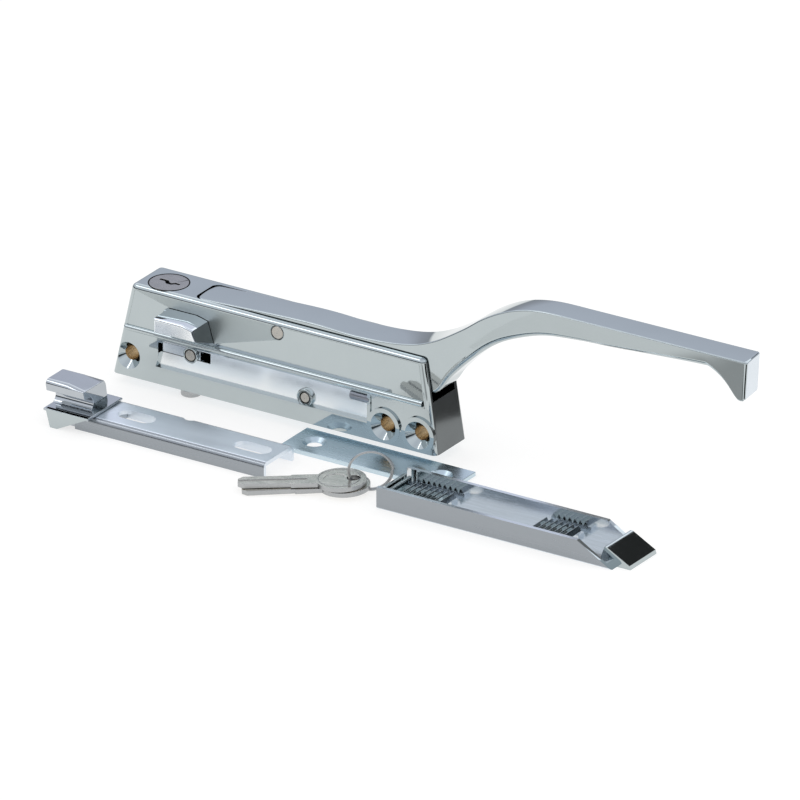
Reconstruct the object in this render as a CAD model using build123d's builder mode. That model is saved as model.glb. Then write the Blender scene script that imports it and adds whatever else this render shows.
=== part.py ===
from build123d import *
import os
from math import atan2, cos, degrees, radians, sin

os.makedirs("parts", exist_ok=True)

# Offset handle latch set as it lies on a table: the latch itself, its hook strike,
# its serrated strike, a shim plate and two keys on a split ring.
# x runs along the latch from its lock end to the grip, y runs from the viewer
# through the latch, z runs up from the latch housing's underside. Sizes in mm.

# Housing
HOUSING_LENGTH = 147.5
HOUSING_DEPTH = 22.0
HOUSING_HEIGHT = 38.5
END_LEAN_LOCK = 8.2
END_LEAN_GRIP = 6.2
SIDE_LEAN = 0.9
CORNER_R = 2.6
TOP_EDGE_R = 2.2
WALL = 3.0
FAR_WALL = 3.6
TOP_WALL = 3.5
LUG_DROP = 4.0

# Handle
HANDLE_END_X = 36.6
HANDLE_TIP_X = 284.2
HANDLE_NEAR_Y = 3.4
HANDLE_WIDTH = 14.6
GRIP_WIDTH = 12.2
LEAF_THICK = 1.7
LEAF_LENGTH = 11.6
LEAF_CORNER_R = 2.6
ARM_DEPTH = 14.5
ARM_INSET = 3.5
TAPER_START = 2.5
TAPER_END = 42.5
TIP_RISE = 31.8
TIP_SKEW = 1.5
TOP_EDGE_ROUND = 0.8
# Rises of the arm's top above the housing, from the arm's end
ARM_TOP = ((47.1, 2.0), (71.4, 1.5))
# Offsets from the housing's upper grip corner to the neck's top and underside
NECK_TOP = ((-18.5, 3.0), (-4.8, 7.1), (8.8, 15.2), (17.9, 21.8), (27.0, 26.7), (36.1, 29.7), (46.5, 31.1))
NECK_UNDER = ((60.5, 22.1), (44.7, 20.2), (31.1, 15.7), (22.0, 10.8), (12.9, 3.2), (3.9, -5.9))
# Offsets from the tip's upper corner to the tip's downturned underside
TIP_UNDER = ((-3.4, -16.8), (-5.2, -15.7), (-10.2, -10.5), (-16.2, -7.1), (-22.2, -6.5))
TIP_FOOT = (-1.0, -16.3)
FOOT_X = 71.5
FOOT_WIDTH = 6.0
FOOT_DEPTH = 9.4
FOOT_BOTTOM = 13.0
PIVOT_X = 75.0
PIVOT_DROP = 4.5
PIVOT_R = 3.0
RUNNING_GAP = 0.05

# Handle slot and the solid block at the housing's grip end
SLOT_END_GAP = 1.0
SLOT_CORNER_R = 3.0
BLOCK_LENGTH = 31.5
BLOCK_TOP = 20.7
CAVITY_X = 13.0

# Front face: bead rail, pocket, slot, bosses and screw holes
RAIL_Z = 20.3
RAIL_R = 1.2
RAIL_X = 3.2
POCKET_X = 20.0
POCKET_BOTTOM = 7.0
POCKET_TOP = 18.4
POCKET_LEAN = 3.0
POCKET_DEPTH = 1.8
RECESS_INSET = 1.4
RECESS_DEPTH = 0.9
BOSS_R = 7.4
SCREW_HOLE_R = 3.0
COUNTERSINK_R = 5.6
LOCK_SCREW = (7.4, 8.7)
GRIP_SCREW_INSETS = (24.0, 8.5)
GRIP_SCREW_Z = 6.9
SLOT_X = 21.0
SLOT_LENGTH = 23.0
SLOT_HEIGHT = 4.2
SLOT_RISE = 0.2
DRAW_PIN_X = 35.4
DRAW_PIN_Z = 15.0
DRAW_PIN_R = 1.8
DRAW_HEAD_R = 3.25
DRAW_HEAD = 1.1
SLIDE_THICK = 2.2
GUIDE_X = 87.5
GUIDE_Z = 9.9
GUIDE_R = 2.75
GUIDE_RING = 0.9
ROD_SHOWN = 8.0
ROD_LENGTH = 24.0
ROD_R = 2.0
ROD_Z = 16.0
ROD_Y = 2.2

# Bolt
BOLT_X = 26.0
BOLT_FLAT = 12.6
BOLT_TOP_LENGTH = 17.6
BOLT_FLARE = 2.7
BOLT_DROP = 6.0
BOLT_HEIGHT = 9.6
BOLT_SLOPE = 1.2
BOLT_REACH = 10.6
BOLT_BACK = 8.7
BOLT_UNDERCUT = 4.1
BOLT_CLEAR = 0.2
BOLT_EDGE_R = 0.9
LUG_X = 40.8
LUG_WIDTH = 2.6
LUG_THICK = 2.45
LUG_BOTTOM = 7.0
SPRING_BORE_R = 3.0
SPRING_X = 32.0
SPRING_RISE = 4.5
SPRING_SEAT_Y = -2.0

# Bell crank
CRANK_X = 68.0
CRANK_Y = 9.3
CRANK_Z = 6.0
CRANK_THICK = 4.0
CRANK_REACH = 26.0
CRANK_SHORT = 6.0
CRANK_HALF_SWING = 10.5
CRANK_HUB_R = 4.0
CRANK_TIP_R = 1.3
CRANK_PIN_R = 1.5
CRANK_SHOULDER_R = 2.7
STUD_R = 1.3

# Draw bar
BAR_X = 32.9
BAR_RIGHT_X = 96.0
BAR_Y = 14.6
BAR_THICK = 2.9
BAR_BOTTOM = 0.35
BAR_HEIGHT = 4.2
BAR_LEG = 5.0
BAR_TOP = 17.8
TAB_THICK = 4.0
TAB_GAP = 0.3
TAB_BOTTOM = 12.9
BAR_TRAVEL = 2.2
EAR_RIGHT_X = 93.6
DRAW_SPRING_R = 1.9
SPRING_WIRE = 0.7

# Cover under the housing, its screws and the round lugs it stands on
COVER_INSET = 3.4
COVER_NEAR = 2.4
COVER_THICK = 1.2
COVER_SCREW_INSETS = (8.0, 16.3)
COVER_SCREW_Y = 13.0
COVER_SCREW_R = 1.5
COVER_SCREW_LENGTH = 4.6
COVER_HEAD_R = 2.7
LUG_R = 4.0
LUG_SHANK_R = 1.5
LUG_PAIR_X = 32.0
LUG_YS = (6.6, 15.6)
LAST_LUG_INSET = 26.0

# Lock
LOCK_X = 20.0
LOCK_Y = 9.7
LOCK_FACE_R = 7.9
LOCK_BORE_GAP = 0.15
LOCK_FACE_THICK = 2.2
LOCK_FLANGE = 1.3
LOCK_TUBE_R = 5.6
LOCK_PLUG_R = 4.0
LOCK_BOTTOM = 13.0
LOCK_CAM_THICK = 2.0
LOCK_CAM_REACH = 7.4
LOCK_CAM_R = 2.6
KEYWAY_DEPTH = 9.0
# Outline of the zigzag keyway round the lock's centre
KEYWAY = (
    (-4.7, 0.2),
    (-4.7, 1.5),
    (-1.2, 1.5),
    (0.4, -0.1),
    (1.4, -0.1),
    (2.4, 1.0),
    (4.7, 1.0),
    (4.7, -0.3),
    (3.0, -0.3),
    (1.9, -1.5),
    (-0.4, -1.5),
    (-2.0, 0.2),
)
CLIP_R = 6.2
CLIP_GROOVE_R = 5.0
CLIP_THICK = 0.9

# Hook strike: inverted channel bar and the hook casting on its end
STRIKE_X = 12.7
STRIKE_RIGHT_X = 98.6
STRIKE_Y = -45.0
STRIKE_WIDTH = 21.0
STRIKE_HEIGHT = 6.3
STRIKE_SHEET = 1.6
STRIKE_BEND_R = 2.2
STRIKE_SLOTS = (34.0, 86.8)
STRIKE_SLOT_LENGTH = 16.0
STRIKE_SLOT_WIDTH = 7.5
NOTCH_X = 51.9
NOTCH_R = 2.7
HOOK_X = 0.8
HOOK_BLOCK_LENGTH = 17.2
HOOK_FLAT = 9.6
HOOK_BASE_Y = -49.0
HOOK_BASE_WIDTH = 24.4
HOOK_BASE_LENGTH = 20.4
HOOK_BASE_THICK = 1.2
HOOK_SKIRT = 2.0
HOOK_TONGUE = 24.0
HOOK_GAP = 0.15
HOOK_FALL = 1.8
# Outline of the hook's section, offsets from the base's near edge and its ledge
HOOK_TOE = (7.0, 0.0)
HOOK_THROAT = ((8.7, 3.5), (5.0, 5.9))
HOOK_LIP = ((2.4, 6.4), (1.8, 8.9))
HOOK_BROW = ((2.3, 10.4), (3.8, 11.1))
HOOK_CREST = (13.4, 11.1)
HOOK_BACK = ((16.6, 9.1), (18.0, 5.5))
HOOK_HEEL = 19.0
HOOK_SINK = 1.0
SKIRT_POINTS = (1.0, 3.0, 6.2)
SKIRT_RISE = 0.4
HOOK_FOOT = 3.4

# Serrated strike: open channel with two toothed pads and a ramp nose
CHANNEL_X = 149.6
CHANNEL_RIGHT_X = 255.2
CHANNEL_Y = -45.2
CHANNEL_WIDTH = 23.2
CHANNEL_HEIGHT = 9.0
CHANNEL_SHEET = 1.7
CHANNEL_SLANT = 15.4
PADS = ((152.0, 22.0), (213.0, 18.0))
PAD_WIDTH = 15.0
PAD_HEIGHT = 1.3
TOOTH_PITCH = 2.4
TOOTH_HEIGHT = 1.1
CHANNEL_SLOTS = (167.5, 224.5)
CHANNEL_SLOT_LENGTH = 19.0
CHANNEL_SLOT_WIDTH = 6.4
NOSE_X = 250.6
NOSE_LENGTH = 10.6
NOSE_TOP = 7.0
NOSE_END = 1.6
NOSE_Y = -41.0
NOSE_WIDTH = 18.4
NOSE_ROOT = 3.0
NOSE_FLAT = 1.0
NOSE_TIP_LEAN = 0.4
TOOTH_SINK = 0.01

# Shim plate
SHIM_X = 88.5
SHIM_Y = -18.4
SHIM_LENGTH = 76.4
SHIM_WIDTH = 19.2
SHIM_THICK = 1.8
SHIM_HOLE_SPACING = 57.2
SHIM_HOLE_R = 2.9
SHIM_SINK_R = 4.7
SHIM_SINK_ANGLE = 100.0

# Keys and split ring
KEY_HEADING = 31.4
KEY_BOW_R = 9.75
KEY_HOLE_R = 2.6
KEY_HOLE_OFFSET = 4.8
KEY_THICK = 1.8
KEY_LENGTH = 49.0
KEY_BLADE = 7.2
KEY_SHOULDER = 8.6
KEY_SHOULDER_AT = 19.0
KEY_TILT = 2.2
KEY_GROOVE = 0.5
KEY_TIP = 2.0
KEY_RECESS_R = 4.5
KEY_RECESS_AT = 7.0
KEY_RECESS = 0.2
KEY_A_HOLE = (133.6, -36.2)
KEY_B_HOLE = (134.9, -35.5)
KEY_B_LIFT = 1.9
KEY_STACK_GAP = 0.15
KEY_B_TURN = 3.0
RING_R = 8.6
RING_WIRE_R = 0.6
RING_FOOT = (139.2, -33.0)
RING_HEADING = 32.7
RING_LEAN = 8.0

# The set's frame: its origin is the middle of the whole set's footprint, on the table.
# The nearest point is the lower key's tip.
FLOOR = -LUG_DROP
SET_MID_X = HANDLE_TIP_X / 2
SET_NEAR_Y = -62.25
SET_MID_Y = (HOUSING_DEPTH + SET_NEAR_Y) / 2


def level(z):
    """Plane facing up, z above the housing's underside."""
    return Plane(origin=(-SET_MID_X, -SET_MID_Y, z - FLOOR), x_dir=(1, 0, 0), z_dir=(0, 0, 1))


def front(y):
    """Plane facing the viewer, y behind the housing's front face; its second axis is up."""
    return Plane(origin=(-SET_MID_X, y - SET_MID_Y, -FLOOR), x_dir=(1, 0, 0), z_dir=(0, -1, 0))


def across(x):
    """Plane facing the grip's tip, x from the lock end; its axes run away and up."""
    return Plane(origin=(x - SET_MID_X, -SET_MID_Y, -FLOOR), x_dir=(0, 1, 0), z_dir=(1, 0, 0))


def finish(sub_part, label):
    """Label a finished sub-part and write it as its own STEP file."""
    sub_part.part.label = label
    export_step(sub_part.part, f"parts/{label}.step")


BLOCK_X = HOUSING_LENGTH - BLOCK_LENGTH
RECESS_X = BLOCK_X + RECESS_INSET
ROD_X = BLOCK_X - ROD_SHOWN
GRIP_SCREWS = [(HOUSING_LENGTH - inset, GRIP_SCREW_Z) for inset in GRIP_SCREW_INSETS]
COVER_SCREWS = (
    (COVER_SCREW_INSETS[0], COVER_SCREW_Y),
    (HOUSING_LENGTH - COVER_SCREW_INSETS[1], COVER_SCREW_Y),
)
LUGS = (
    (LUG_PAIR_X, LUG_YS[0]),
    (LUG_PAIR_X, LUG_YS[1]),
    (HOUSING_LENGTH - LAST_LUG_INSET, LUG_YS[1]),
)
PIVOT_Z = HOUSING_HEIGHT - PIVOT_DROP
SLOT_START = HANDLE_END_X - SLOT_END_GAP
FAR_Y = HOUSING_DEPTH - FAR_WALL
CAVITY_TOP = HOUSING_HEIGHT - TOP_WALL
BOLT_TOP = HOUSING_HEIGHT - BOLT_DROP
BOLT_BOTTOM = BOLT_TOP - BOLT_HEIGHT
SPRING_Z = BOLT_BOTTOM + SPRING_RISE
BOLT_PROFILE = (
    (BOLT_X, BOLT_BOTTOM),
    (BOLT_X + BOLT_TOP_LENGTH + BOLT_FLARE, BOLT_BOTTOM),
    (BOLT_X + BOLT_TOP_LENGTH, BOLT_TOP - BOLT_SLOPE),
    (BOLT_X + BOLT_FLAT, BOLT_TOP),
    (BOLT_X, BOLT_TOP),
)

# Die-cast housing: slanted ends, leaning sides, open handle slot and hollow underside
with BuildPart() as housing:
    with BuildSketch(front(0)):
        Polygon(
            (0, 0),
            (HOUSING_LENGTH, 0),
            (HOUSING_LENGTH - END_LEAN_GRIP, HOUSING_HEIGHT),
            (END_LEAN_LOCK, HOUSING_HEIGHT),
            align=None,
        )
    extrude(amount=-HOUSING_DEPTH)
    with BuildSketch(across(0)):
        Polygon(
            (0, 0),
            (HOUSING_DEPTH, 0),
            (HOUSING_DEPTH, HOUSING_HEIGHT),
            (SIDE_LEAN, HOUSING_HEIGHT),
            align=None,
        )
    extrude(amount=HOUSING_LENGTH, mode=Mode.INTERSECT)
    fillet(housing.edges().filter_by(lambda edge: abs(edge.tangent_at(0.5).Z) > 0.5), CORNER_R)
    fillet(housing.faces().sort_by(Axis.Z)[-1].edges(), TOP_EDGE_R)
    # Bead rail along the front face
    with BuildSketch(across(RAIL_X)):
        with Locations((SIDE_LEAN * RAIL_Z / HOUSING_HEIGHT, RAIL_Z)):
            Circle(RAIL_R)
    extrude(amount=HOUSING_LENGTH - 2 * RAIL_X - END_LEAN_GRIP / 2)
    # Shallow pocket of the mechanism, with a slanted lock end
    with BuildSketch(front(-RAIL_R)):
        Polygon(
            (POCKET_X, POCKET_BOTTOM),
            (BLOCK_X, POCKET_BOTTOM),
            (BLOCK_X, POCKET_TOP),
            (POCKET_X + POCKET_LEAN, POCKET_TOP),
            align=None,
        )
    extrude(amount=-RAIL_R - POCKET_DEPTH, mode=Mode.SUBTRACT)
    # Recess round the two bosses at the grip end
    with BuildSketch(front(-RAIL_R)):
        with Locations((RECESS_X, POCKET_BOTTOM)):
            Rectangle(HOUSING_LENGTH, POCKET_TOP - POCKET_BOTTOM, align=(Align.MIN, Align.MIN))
    extrude(amount=-RAIL_R - RECESS_DEPTH, mode=Mode.SUBTRACT)
    with BuildSketch(front(0)):
        with Locations(*GRIP_SCREWS):
            Circle(BOSS_R)
        with Locations((0, 0)):
            Rectangle(HOUSING_LENGTH, BOSS_R * 3, align=(Align.MIN, Align.MIN), mode=Mode.INTERSECT)
    extrude(amount=-2 * RECESS_DEPTH)
    # Ring round the guide pin
    with BuildSketch(front(POCKET_DEPTH - GUIDE_RING)):
        with Locations((GUIDE_X, GUIDE_Z)):
            Circle(GUIDE_R + GUIDE_RING)
    extrude(amount=-2 * GUIDE_RING)
    # Hollow and handle slot
    with BuildSketch(level(0)):
        with Locations((CAVITY_X, WALL)):
            Rectangle(BLOCK_X - CAVITY_X, FAR_Y - WALL, align=(Align.MIN, Align.MIN))
    extrude(amount=CAVITY_TOP, mode=Mode.SUBTRACT)
    with BuildSketch(level(BLOCK_TOP)) as handle_slot:
        with Locations((SLOT_START, WALL)):
            Rectangle(HOUSING_LENGTH, FAR_Y - WALL, align=(Align.MIN, Align.MIN))
        fillet(handle_slot.vertices().group_by(Axis.X)[0], SLOT_CORNER_R)
    extrude(amount=HOUSING_HEIGHT, mode=Mode.SUBTRACT)
    # Lock bore
    with BuildSketch(level(CAVITY_TOP - 1)):
        with Locations((LOCK_X, LOCK_Y)):
            Circle(LOCK_FACE_R + LOCK_BORE_GAP)
    extrude(amount=HOUSING_HEIGHT, mode=Mode.SUBTRACT)
    # Bolt window
    with BuildSketch(front(-RAIL_R)):
        Polygon(*BOLT_PROFILE, align=None)
        offset(amount=BOLT_CLEAR, kind=Kind.INTERSECTION)
    extrude(amount=-RAIL_R - 2 * WALL, mode=Mode.SUBTRACT)
    # Slot of the draw pin
    with BuildSketch(front(0)):
        with Locations((SLOT_X, DRAW_PIN_Z + SLOT_RISE)):
            Rectangle(SLOT_LENGTH, SLOT_HEIGHT, align=(Align.MIN, Align.CENTER))
    extrude(amount=-2 * WALL, mode=Mode.SUBTRACT)
    # Pin bores along y
    with BuildSketch(front(-RAIL_R)):
        with Locations((PIVOT_X, PIVOT_Z)):
            Circle(PIVOT_R + RUNNING_GAP)
        with Locations((GUIDE_X, GUIDE_Z)):
            Circle(GUIDE_R + RUNNING_GAP)
    extrude(amount=-2 * HOUSING_DEPTH, mode=Mode.SUBTRACT)
    # Groove and bore of the guide rod
    with BuildSketch(across(ROD_X)):
        with Locations((ROD_Y, ROD_Z)):
            Circle(ROD_R + RUNNING_GAP)
    extrude(amount=ROD_LENGTH, mode=Mode.SUBTRACT)
    # Countersunk mounting holes
    for hole_x, hole_z in (LOCK_SCREW, *GRIP_SCREWS):
        with Locations(front(0).location * Location((hole_x, hole_z, 0))):
            CounterSinkHole(SCREW_HOLE_R, COUNTERSINK_R)
    # Blind holes of the cover screws
    with BuildSketch(level(0)):
        with Locations(*COVER_SCREWS):
            Circle(COVER_SCREW_R)
    extrude(amount=COVER_SCREW_LENGTH - COVER_THICK + 2 * RUNNING_GAP, mode=Mode.SUBTRACT)
finish(housing, "housing")

# Cast handle: one side profile, narrowed in plan towards the grip
HANDLE_MID_Y = HANDLE_NEAR_Y + HANDLE_WIDTH / 2
FOOT_NEAR_Y = HANDLE_NEAR_Y + 0.8
ARM_BOTTOM = HOUSING_HEIGHT - ARM_DEPTH
LEAF_END = HANDLE_END_X + LEAF_LENGTH
LEAF_BOTTOM = HOUSING_HEIGHT - LEAF_THICK
TIP_TOP = HOUSING_HEIGHT + TIP_RISE
arm_top = [(HANDLE_END_X + along, HOUSING_HEIGHT + rise) for along, rise in ARM_TOP]
neck_top = [(HOUSING_LENGTH + along, HOUSING_HEIGHT + rise) for along, rise in NECK_TOP]
neck_under = [(HOUSING_LENGTH + along, HOUSING_HEIGHT + rise) for along, rise in NECK_UNDER]
neck_under.append((HOUSING_LENGTH - ARM_INSET, ARM_BOTTOM))
tip_under = [(HANDLE_TIP_X + along, TIP_TOP + rise) for along, rise in TIP_UNDER]
tip_foot = (HANDLE_TIP_X + TIP_FOOT[0], TIP_TOP + TIP_FOOT[1])
grip_slope = (1, (TIP_TOP - neck_top[-1][1]) / (HANDLE_TIP_X - neck_top[-1][0]))
with BuildPart() as handle:
    with BuildSketch(front(HANDLE_NEAR_Y)):
        with BuildLine():
            Spline((HANDLE_END_X, HOUSING_HEIGHT), *arm_top, *neck_top, tangents=(grip_slope, grip_slope))
            Polyline(neck_top[-1], (HANDLE_TIP_X, TIP_TOP), tip_foot, tip_under[0])
            Spline(*tip_under, *neck_under, tangents=((-1, 0.35), (-0.45, -1)))
            Polyline(
                neck_under[-1],
                (LEAF_END, ARM_BOTTOM),
                (LEAF_END, LEAF_BOTTOM),
                (HANDLE_END_X, LEAF_BOTTOM),
                (HANDLE_END_X, HOUSING_HEIGHT),
            )
        make_face()
    extrude(amount=-HANDLE_WIDTH)
    # Plan outline, drawn as the near half and its mirror image about the arm's middle
    with BuildSketch(level(0)) as handle_plan:
        for side in (-1, 1):
            arm_y = HANDLE_MID_Y + side * HANDLE_WIDTH / 2
            grip_y = HANDLE_MID_Y + side * GRIP_WIDTH / 2
            with BuildLine():
                Line((HANDLE_END_X, HANDLE_MID_Y), (HANDLE_END_X, arm_y))
                Line((HANDLE_END_X, arm_y), (HOUSING_LENGTH + TAPER_START, arm_y))
                Spline(
                    (HOUSING_LENGTH + TAPER_START, arm_y),
                    (HOUSING_LENGTH + TAPER_END, grip_y),
                    tangents=((1, 0), (1, 0)),
                )
                Polyline(
                    (HOUSING_LENGTH + TAPER_END, grip_y),
                    (HANDLE_TIP_X - (1 + side) * TIP_SKEW / 2, grip_y),
                    (HANDLE_TIP_X - TIP_SKEW / 2, HANDLE_MID_Y),
                    (HANDLE_END_X, HANDLE_MID_Y),
                )
            make_face()
        fillet(handle_plan.vertices().group_by(Axis.X)[0], LEAF_CORNER_R)
    extrude(amount=2 * HANDLE_TIP_X, mode=Mode.INTERSECT)
    # Long upper edges, from the arm's end to the tip
    underside_limit = tip_under[-1][1] - FLOOR + TOP_EDGE_ROUND
    top_edges = handle.edges().filter_by(
        lambda edge: edge.bounding_box().max.Z > underside_limit or edge.bounding_box().min.X < -BLOCK_X / 2
    )
    top_edges = top_edges.filter_by(lambda edge: edge.bounding_box().size.X > 2 * HANDLE_WIDTH)
    top_edges = top_edges.filter_by(lambda edge: edge.center().Z > HOUSING_HEIGHT)
    fillet(top_edges, TOP_EDGE_ROUND)
    with BuildSketch(level(FOOT_BOTTOM)):
        with Locations((FOOT_X, FOOT_NEAR_Y)):
            Rectangle(FOOT_WIDTH, FOOT_DEPTH, align=(Align.MIN, Align.MIN))
    extrude(amount=ARM_BOTTOM - FOOT_BOTTOM + 2)
    with BuildSketch(front(-RAIL_R)):
        with Locations((PIVOT_X, PIVOT_Z)):
            Circle(PIVOT_R + RUNNING_GAP)
    extrude(amount=-2 * HOUSING_DEPTH, mode=Mode.SUBTRACT)
finish(handle, "handle")

# Hinge pin of the handle
with BuildPart() as handle_pin:
    with BuildSketch(front(SIDE_LEAN - 0.2)):
        with Locations((PIVOT_X, PIVOT_Z)):
            Circle(PIVOT_R)
    extrude(amount=-(HOUSING_DEPTH - SIDE_LEAN))
finish(handle_pin, "handle_pin")

# Spring bolt: flared head with a level and a sloping top, lug below for the crank
with BuildPart() as bolt:
    with BuildSketch(front(-BOLT_REACH)):
        Polygon(*BOLT_PROFILE, align=None)
    extrude(amount=-(BOLT_REACH + BOLT_BACK))
    fillet(bolt.faces().sort_by(Axis.Y)[0].edges(), BOLT_EDGE_R)
    with BuildSketch(across(0)):
        Polygon(
            (-2 * BOLT_REACH, BOLT_BOTTOM - BOLT_UNDERCUT),
            (-2 * BOLT_REACH, BOLT_BOTTOM + 2 * BOLT_UNDERCUT),
            (0, BOLT_BOTTOM),
            (0, BOLT_BOTTOM - BOLT_UNDERCUT),
            align=None,
        )
    extrude(amount=2 * BOLT_X + BOLT_TOP_LENGTH, mode=Mode.SUBTRACT)
    with BuildSketch(level(LUG_BOTTOM)):
        with Locations((LUG_X, BOLT_BACK - LUG_THICK)):
            Rectangle(LUG_WIDTH, LUG_THICK, align=(Align.MIN, Align.MIN))
    extrude(amount=BOLT_BOTTOM - LUG_BOTTOM + 1)
    with BuildSketch(front(SPRING_SEAT_Y)):
        with Locations((SPRING_X, SPRING_Z)):
            Circle(SPRING_BORE_R)
    extrude(amount=-2 * BOLT_BACK, mode=Mode.SUBTRACT)
finish(bolt, "bolt")


def spring_coil(plane, radius, length):
    """Closed-coil stand-in: a thin sleeve of the spring's outer and inner diameters."""
    with BuildPart() as sleeve:
        with BuildSketch(plane):
            Circle(radius)
            Circle(radius - SPRING_WIRE, mode=Mode.SUBTRACT)
        extrude(amount=length)
    return sleeve


bolt_spring = spring_coil(
    Plane(
        origin=(front(SPRING_SEAT_Y).location * Location((SPRING_X, SPRING_Z, 0))).position,
        z_dir=(0, 1, 0),
    ),
    SPRING_BORE_R - 0.4,
    FAR_Y - SPRING_SEAT_Y,
)
finish(bolt_spring, "bolt_spring")

# Bell crank: its long arm draws the bolt in, its short arm is turned by the draw bar
crank_turn = radians(CRANK_HALF_SWING)
crank_tip = (CRANK_X - CRANK_REACH * cos(crank_turn), CRANK_Y - CRANK_REACH * sin(crank_turn))
crank_stud = (CRANK_X - CRANK_SHORT * sin(crank_turn), CRANK_Y + CRANK_SHORT * cos(crank_turn))
with BuildPart() as bell_crank:
    with BuildSketch(level(CRANK_Z)) as crank_plan:
        with Locations((CRANK_X, CRANK_Y)):
            Circle(CRANK_HUB_R)
        for end, reach, width in (
            (crank_tip, CRANK_REACH, 2 * CRANK_TIP_R),
            (crank_stud, CRANK_SHORT, 3.4 * STUD_R),
        ):
            middle = ((CRANK_X + end[0]) / 2, (CRANK_Y + end[1]) / 2)
            heading = degrees(atan2(end[1] - CRANK_Y, end[0] - CRANK_X))
            with Locations(Location((*middle, 0), (0, 0, heading))):
                SlotCenterToCenter(reach, width)
    extrude(amount=CRANK_THICK)
    with BuildSketch(level(CRANK_Z)):
        with Locations(crank_stud):
            Circle(STUD_R)
    extrude(amount=-(CRANK_Z - 2 * BAR_BOTTOM))
    with BuildSketch(level(CRANK_Z)):
        with Locations((CRANK_X, CRANK_Y)):
            Circle(CRANK_PIN_R + RUNNING_GAP)
    extrude(amount=CRANK_THICK, mode=Mode.SUBTRACT)
finish(bell_crank, "bell_crank")

# Shouldered pivot of the bell crank, standing on the cover
with BuildPart() as crank_pin:
    with BuildSketch(level(0)):
        with Locations((CRANK_X, CRANK_Y)):
            Circle(CRANK_SHOULDER_R)
    extrude(amount=CRANK_Z - RUNNING_GAP)
    with BuildSketch(level(0)):
        with Locations((CRANK_X, CRANK_Y)):
            Circle(CRANK_PIN_R)
    extrude(amount=CRANK_Z + CRANK_THICK + 1)
finish(crank_pin, "crank_pin")

# Draw bar: stamped plate along the far wall with a leg, an ear on the guide pin and a tab
TAB_X = FOOT_X + FOOT_WIDTH + TAB_GAP
BAR_HIGH = BAR_BOTTOM + BAR_HEIGHT
with BuildPart() as draw_bar:
    with BuildSketch(front(BAR_Y)):
        with Locations((BAR_X, BAR_BOTTOM)):
            Rectangle(BAR_RIGHT_X - BAR_X, BAR_HEIGHT, align=(Align.MIN, Align.MIN))
            Rectangle(BAR_LEG, BAR_TOP - BAR_BOTTOM, align=(Align.MIN, Align.MIN))
        with Locations((TAB_X, BAR_BOTTOM)):
            Rectangle(EAR_RIGHT_X - TAB_X, BAR_TOP - BAR_BOTTOM, align=(Align.MIN, Align.MIN))
        with Locations((DRAW_PIN_X, DRAW_PIN_Z)):
            Circle(DRAW_PIN_R, mode=Mode.SUBTRACT)
        with Locations((GUIDE_X - BAR_TRAVEL / 2, GUIDE_Z)):
            SlotCenterToCenter(BAR_TRAVEL + 0.3, 2 * GUIDE_R + 0.2, mode=Mode.SUBTRACT)
    extrude(amount=-BAR_THICK)
    with BuildSketch(level(TAB_BOTTOM)):
        with Locations((TAB_X, FOOT_NEAR_Y)):
            Rectangle(TAB_THICK, BAR_Y - FOOT_NEAR_Y + 1, align=(Align.MIN, Align.MIN))
    extrude(amount=BAR_TOP - TAB_BOTTOM)
    with BuildSketch(level(0)):
        with Locations((crank_stud[0], BAR_Y - 1)):
            Rectangle(2 * STUD_R + 0.3, BAR_THICK + 0.2, align=(Align.CENTER, Align.MIN))
    extrude(amount=BAR_HIGH + 1, mode=Mode.SUBTRACT)
finish(draw_bar, "draw_bar")

# Headed pin through the front slot, carrying the draw bar
DRAW_HEAD_Y = POCKET_DEPTH - DRAW_HEAD - 0.15
with BuildPart() as draw_pin:
    with BuildSketch(front(DRAW_HEAD_Y)):
        with Locations((DRAW_PIN_X, DRAW_PIN_Z)):
            Circle(DRAW_HEAD_R)
    extrude(amount=-DRAW_HEAD)
    with BuildSketch(front(DRAW_HEAD_Y)):
        with Locations((DRAW_PIN_X, DRAW_PIN_Z)):
            Circle(DRAW_PIN_R)
    extrude(amount=-(BAR_Y + BAR_THICK - DRAW_HEAD_Y))
finish(draw_pin, "draw_pin")

# Slide block that fills the slot behind the pin's head
with BuildPart() as slide_block:
    with BuildSketch(front(POCKET_DEPTH + 0.1)):
        with Locations((SLOT_X + 1.2, DRAW_PIN_Z + SLOT_RISE)):
            Rectangle(SLOT_LENGTH / 2 + 5.6, SLOT_HEIGHT - 0.4, align=(Align.MIN, Align.CENTER))
        with Locations((DRAW_PIN_X, DRAW_PIN_Z)):
            Circle(DRAW_PIN_R, mode=Mode.SUBTRACT)
    extrude(amount=-SLIDE_THICK)
finish(slide_block, "slide_block")

# Cross pin that guides the draw bar's ear
with BuildPart() as guide_pin:
    with BuildSketch(front(POCKET_DEPTH - GUIDE_RING - 0.2)):
        with Locations((GUIDE_X, GUIDE_Z)):
            Circle(GUIDE_R)
    extrude(amount=-(HOUSING_DEPTH - POCKET_DEPTH))
finish(guide_pin, "guide_pin")

# Rod end that shows in the pocket's corner
with BuildPart() as guide_rod:
    with BuildSketch(across(ROD_X)):
        with Locations((ROD_Y, ROD_Z)):
            Circle(ROD_R)
    extrude(amount=ROD_LENGTH - RUNNING_GAP)
finish(guide_rod, "guide_rod")

draw_spring = spring_coil(
    Plane(
        origin=(
            across(BAR_RIGHT_X).location
            * Location((BAR_Y + BAR_THICK / 2, BAR_BOTTOM + BAR_HEIGHT / 2, 0))
        ).position,
        z_dir=(1, 0, 0),
    ),
    DRAW_SPRING_R,
    BLOCK_X - BAR_RIGHT_X,
)
finish(draw_spring, "draw_spring")

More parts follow.
